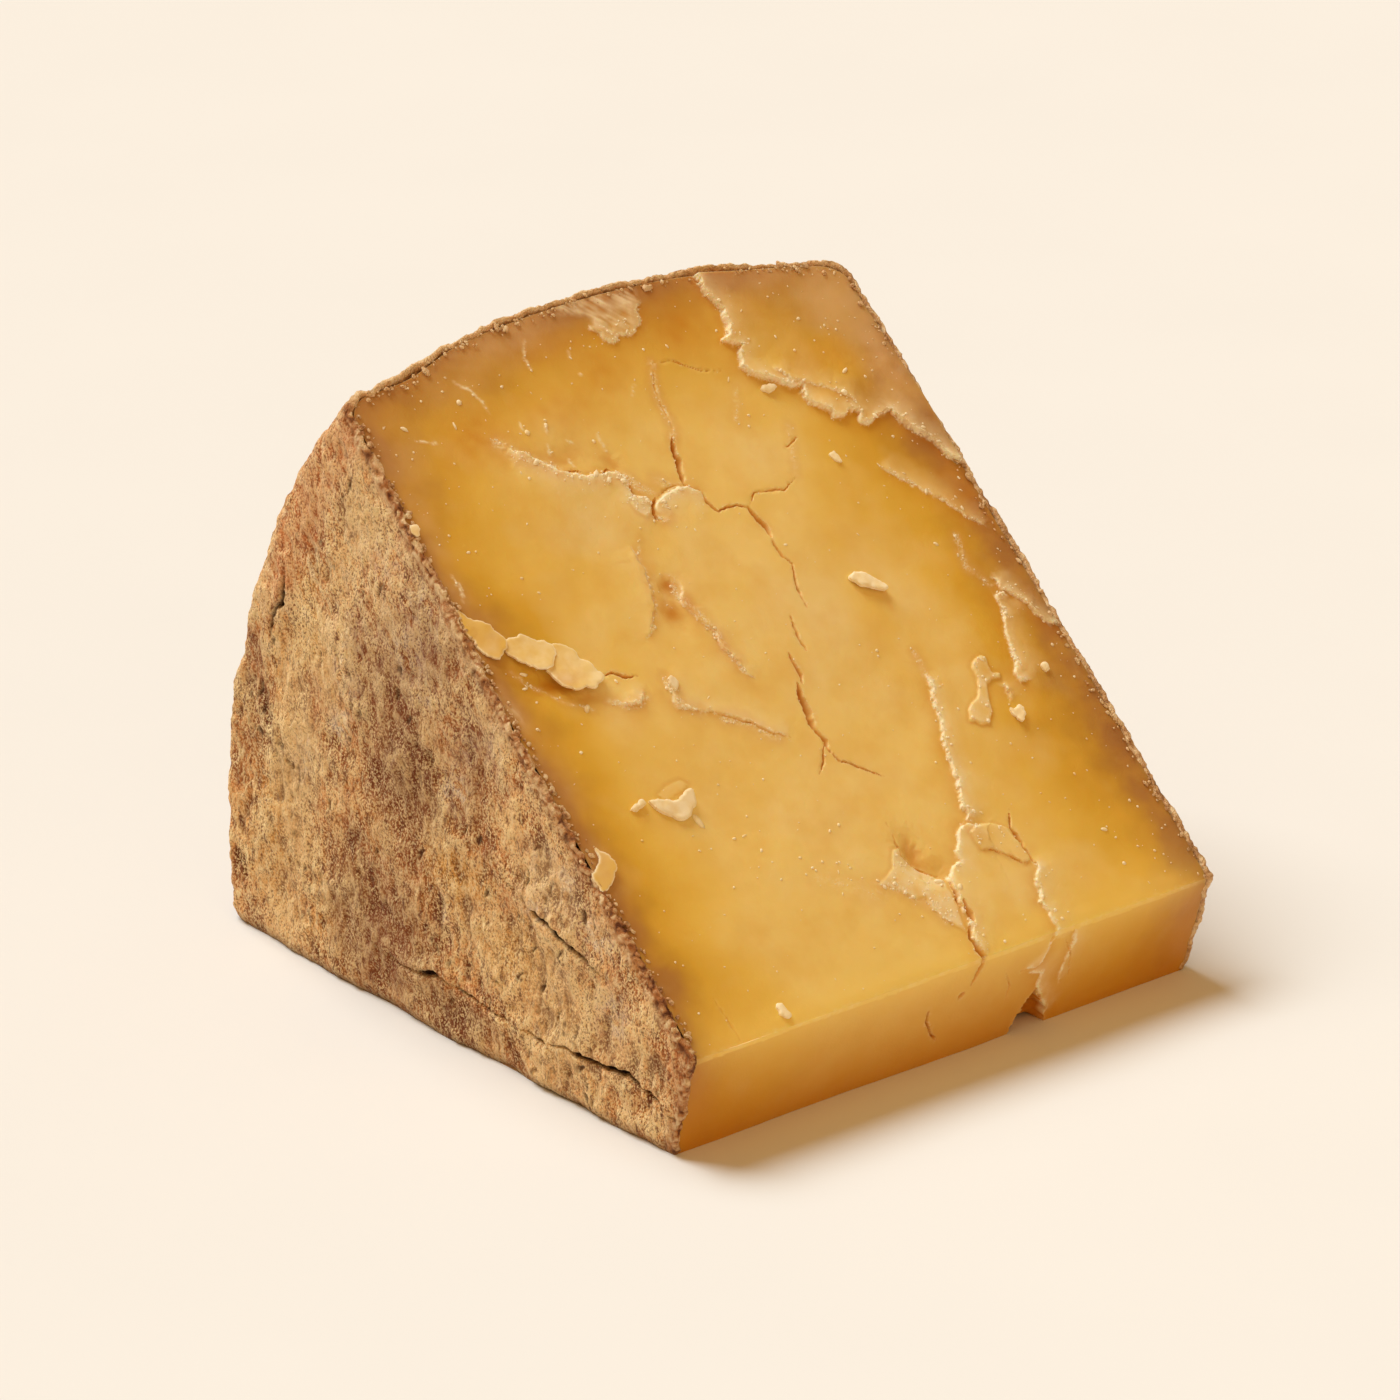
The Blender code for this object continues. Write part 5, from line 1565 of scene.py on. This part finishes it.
def paste_material(name, glow):
    graph = Graph(name)
    fine = graph.noise(1.6, 4)
    uneven = graph.sum("SUBTRACT", graph.noise(13, 3), 0.5)
    depth = graph.sum("MULTIPLY_ADD", uneven, 9.0, graph.mark("browned"))
    colour = graph.ramp(graph.sum("DIVIDE", depth, PASTE_DEPTH), PASTE_COLOURS)
    colour = graph.lay(colour, "pale", 0.1, 1.0, 0.6, (249, 224, 166))
    colour = graph.lay(colour, graph.noise(6.5, 3), 0.42, 0.7, 0.3, (228, 172, 62))
    colour = graph.lay_all(colour, PASTE_LAYERS)
    torn = graph.sum("MULTIPLY", graph.mark("cream"), graph.spread(fine, 0.3, 0.65, 0.6, 1.15), clamp=True)
    colour = graph.blend(torn, colour, tint(255, 236, 196))
    specks = graph.spread(graph.noise(0.34, 2), 0.47, 0.58)
    crumbled = graph.sum("MULTIPLY", specks, graph.spread(graph.mark("grains"), 0.1, 0.8), clamp=True)
    colour = graph.blend(crumbled, colour, tint(255, 239, 200))
    graph.join(colour, graph.shader.inputs["Base Color"])
    rough = graph.spread(graph.noise(3.0, 4), 0.3, 0.7, 0.4, 0.58)
    graph.join(graph.spread(torn, 0.0, 1.0, rough, 0.66), graph.shader.inputs["Roughness"])
    graph.shader.inputs["Specular IOR Level"].default_value = 0.36
    relief = graph.sum("MULTIPLY_ADD", graph.noise(0.5, 3), 0.35, fine)
    relief = graph.sum("MULTIPLY_ADD", crumbled, 0.8, relief)
    graph.bump(relief, 0.13, 0.5)
    graph.glow_through(*glow)
    return graph.material


def rind_material():
    graph = Graph("rind")
    colour = graph.ramp(graph.noise(7, 5, (1.0, 1.0, 0.75)), RIND_COLOURS)
    colour = graph.lay_all(colour, RIND_PATCHES)
    broken = graph.spread(graph.noise(1.7, 4), 0.38, 0.56)
    bloom = graph.sum("MULTIPLY", graph.spread(graph.mark("bloom"), 0.1, 1.0, 0.0, 0.95), broken)
    colour = graph.blend(bloom, colour, tint(255, 234, 204))
    colour = graph.lay_all(colour, RIND_RELIEF)
    streak = graph.noise(1.2, 5, (1.0, 1.0, 0.5), 0.6)
    colour = graph.lay(colour, streak, 0.47, 0.36, 0.8, (118, 62, 34))
    colour = graph.lay(colour, streak, 0.53, 0.63, 0.74, (255, 220, 166))
    leaning = graph.noise(1.5, 4, (1.0, 1.0, 0.3), 0.5, STREAK_LEAN)
    leaning = graph.sum("MULTIPLY", graph.spread(leaning, 0.5, 0.62, 0.0, 0.75), graph.mark("high"))
    colour = graph.blend(leaning, colour, tint(255, 222, 172))
    rough = graph.spread(graph.noise(6, 2), 0.35, 0.6, 0.5, 1.0)
    grain = graph.noise(0.35, 2, (1.0, 1.0, 0.8), 0.6)
    for low, high, most, shown in ((0.47, 0.36, 0.84, (114, 58, 30)), (0.5, 0.61, 1.0, (255, 224, 166))):
        share = graph.sum("MULTIPLY", graph.spread(grain, low, high, 0.0, most), rough)
        colour = graph.blend(share, colour, tint(*shown))
    colour = graph.lay_all(colour, RIND_LAYERS)
    colour = rind_edge_colour(graph, colour)
    graph.join(colour, graph.shader.inputs["Base Color"])
    graph.join(graph.spread(streak, 0.3, 0.7, 0.78, 0.95), graph.shader.inputs["Roughness"])
    graph.shader.inputs["Specular IOR Level"].default_value = 0.25
    bumps = graph.sum("MULTIPLY", graph.noise(1.4, 4, (1.0, 1.0, 0.6)), 1.9)
    graph.bump(graph.sum("MULTIPLY_ADD", grain, 0.5, bumps), 1.0, 1.0)
    graph.glow_through(*RIND_GLOW)
    return graph.material


def rind_edge_colour(graph, colour):
    """The cut edge: rust brown between its ribs that is partly their painted shade, pale crumbs on them, and
    a painted highlight on the rim.
    """
    uneven = graph.spread(graph.noise(3.4, 3), 0.3, 0.6, 0.45, 1.0)
    edge, rim = graph.mark("edge"), graph.mark("rim")
    # Painted shade off the rim, and paler lit copies of the same colours on it as a painted highlight
    body = graph.blend(rim, tint(186, 120, 68), tint(244, 202, 150))
    gap = graph.blend(rim, tint(96, 48, 26), tint(222, 168, 114))
    crumb = graph.blend(rim, tint(250, 218, 168), tint(250, 214, 166))
    between = graph.spread(graph.mark("rib"), 0.40, 0.14, 0.0, 0.9)
    crest = graph.spread(graph.mark("rib"), 0.44, 0.66, 0.0, 0.85)
    for share, over in ((uneven, body), (between, gap), (crest, crumb)):
        colour = graph.blend(graph.sum("MULTIPLY", edge, share), colour, over)
    return colour


def floor_material():
    graph = Graph("floor")
    colour = graph.blend(graph.noise(60, 2), tint(*FLOOR_LIGHT), tint(*FLOOR_DEEP))
    graph.join(colour, graph.shader.inputs["Base Color"])
    graph.shader.inputs["Roughness"].default_value = 0.9
    graph.shader.inputs["Specular IOR Level"].default_value = 0.1
    return graph.material


def add_floor():
    bpy.ops.mesh.primitive_plane_add(size=FLOOR_SIZE)
    floor = bpy.context.object
    floor.name = "floor"
    floor.data.materials.append(floor_material())


def add_sun(name, strength, colour, source, angle):
    light = bpy.data.lights.new(name, "SUN")
    light.energy = strength
    light.color = colour
    light.angle = angle
    made = bpy.data.objects.new(name, light)
    made.rotation_euler = Vector(source).to_track_quat("Z", "Y").to_euler()
    bpy.context.scene.collection.objects.link(made)


def add_lights():
    for name, sun in SUNS.items():
        add_sun(name, *sun)
    world = bpy.data.worlds.new("room")
    world.use_nodes = True
    background = world.node_tree.nodes["Background"]
    background.inputs["Color"].default_value = ROOM_COLOUR
    background.inputs["Strength"].default_value = ROOM_STRENGTH
    bpy.context.scene.world = world


def add_camera():
    level = math.cos(CAMERA_RISE)
    back = Vector((-math.sin(CAMERA_TURN) * level, -math.cos(CAMERA_TURN) * level, math.sin(CAMERA_RISE)))
    right = Vector((math.cos(CAMERA_TURN), -math.sin(CAMERA_TURN), 0.0))
    up = back.cross(right)
    aim = Vector(CAMERA_AIM) + right * CAMERA_SLIDE[0] + up * CAMERA_SLIDE[1]
    data = bpy.data.cameras.new("camera")
    data.sensor_width = SENSOR
    data.lens = LENS
    data.clip_end = FARTHEST
    camera = bpy.data.objects.new("camera", data)
    place = Matrix((right, up, back)).transposed().to_4x4()
    place.translation = aim * MM + back * CAMERA_DISTANCE
    camera.matrix_world = place
    bpy.context.scene.collection.objects.link(camera)
    bpy.context.scene.camera = camera


def main():
    bpy.context.scene.view_settings.view_transform = "Standard"
    add_camera()
    add_lights()
    add_floor()
    paste = paste_material("paste", PASTE_GLOW)
    chip = paste_material("chip", CHIP_GLOW)
    rind = rind_material()
    make_paste(paste)
    make_rind(rind)
    make_flakes(chip)
    make_crumbs(chip)
    make_rind_crumbs(rind)
    bpy.context.view_layer.update()


main()
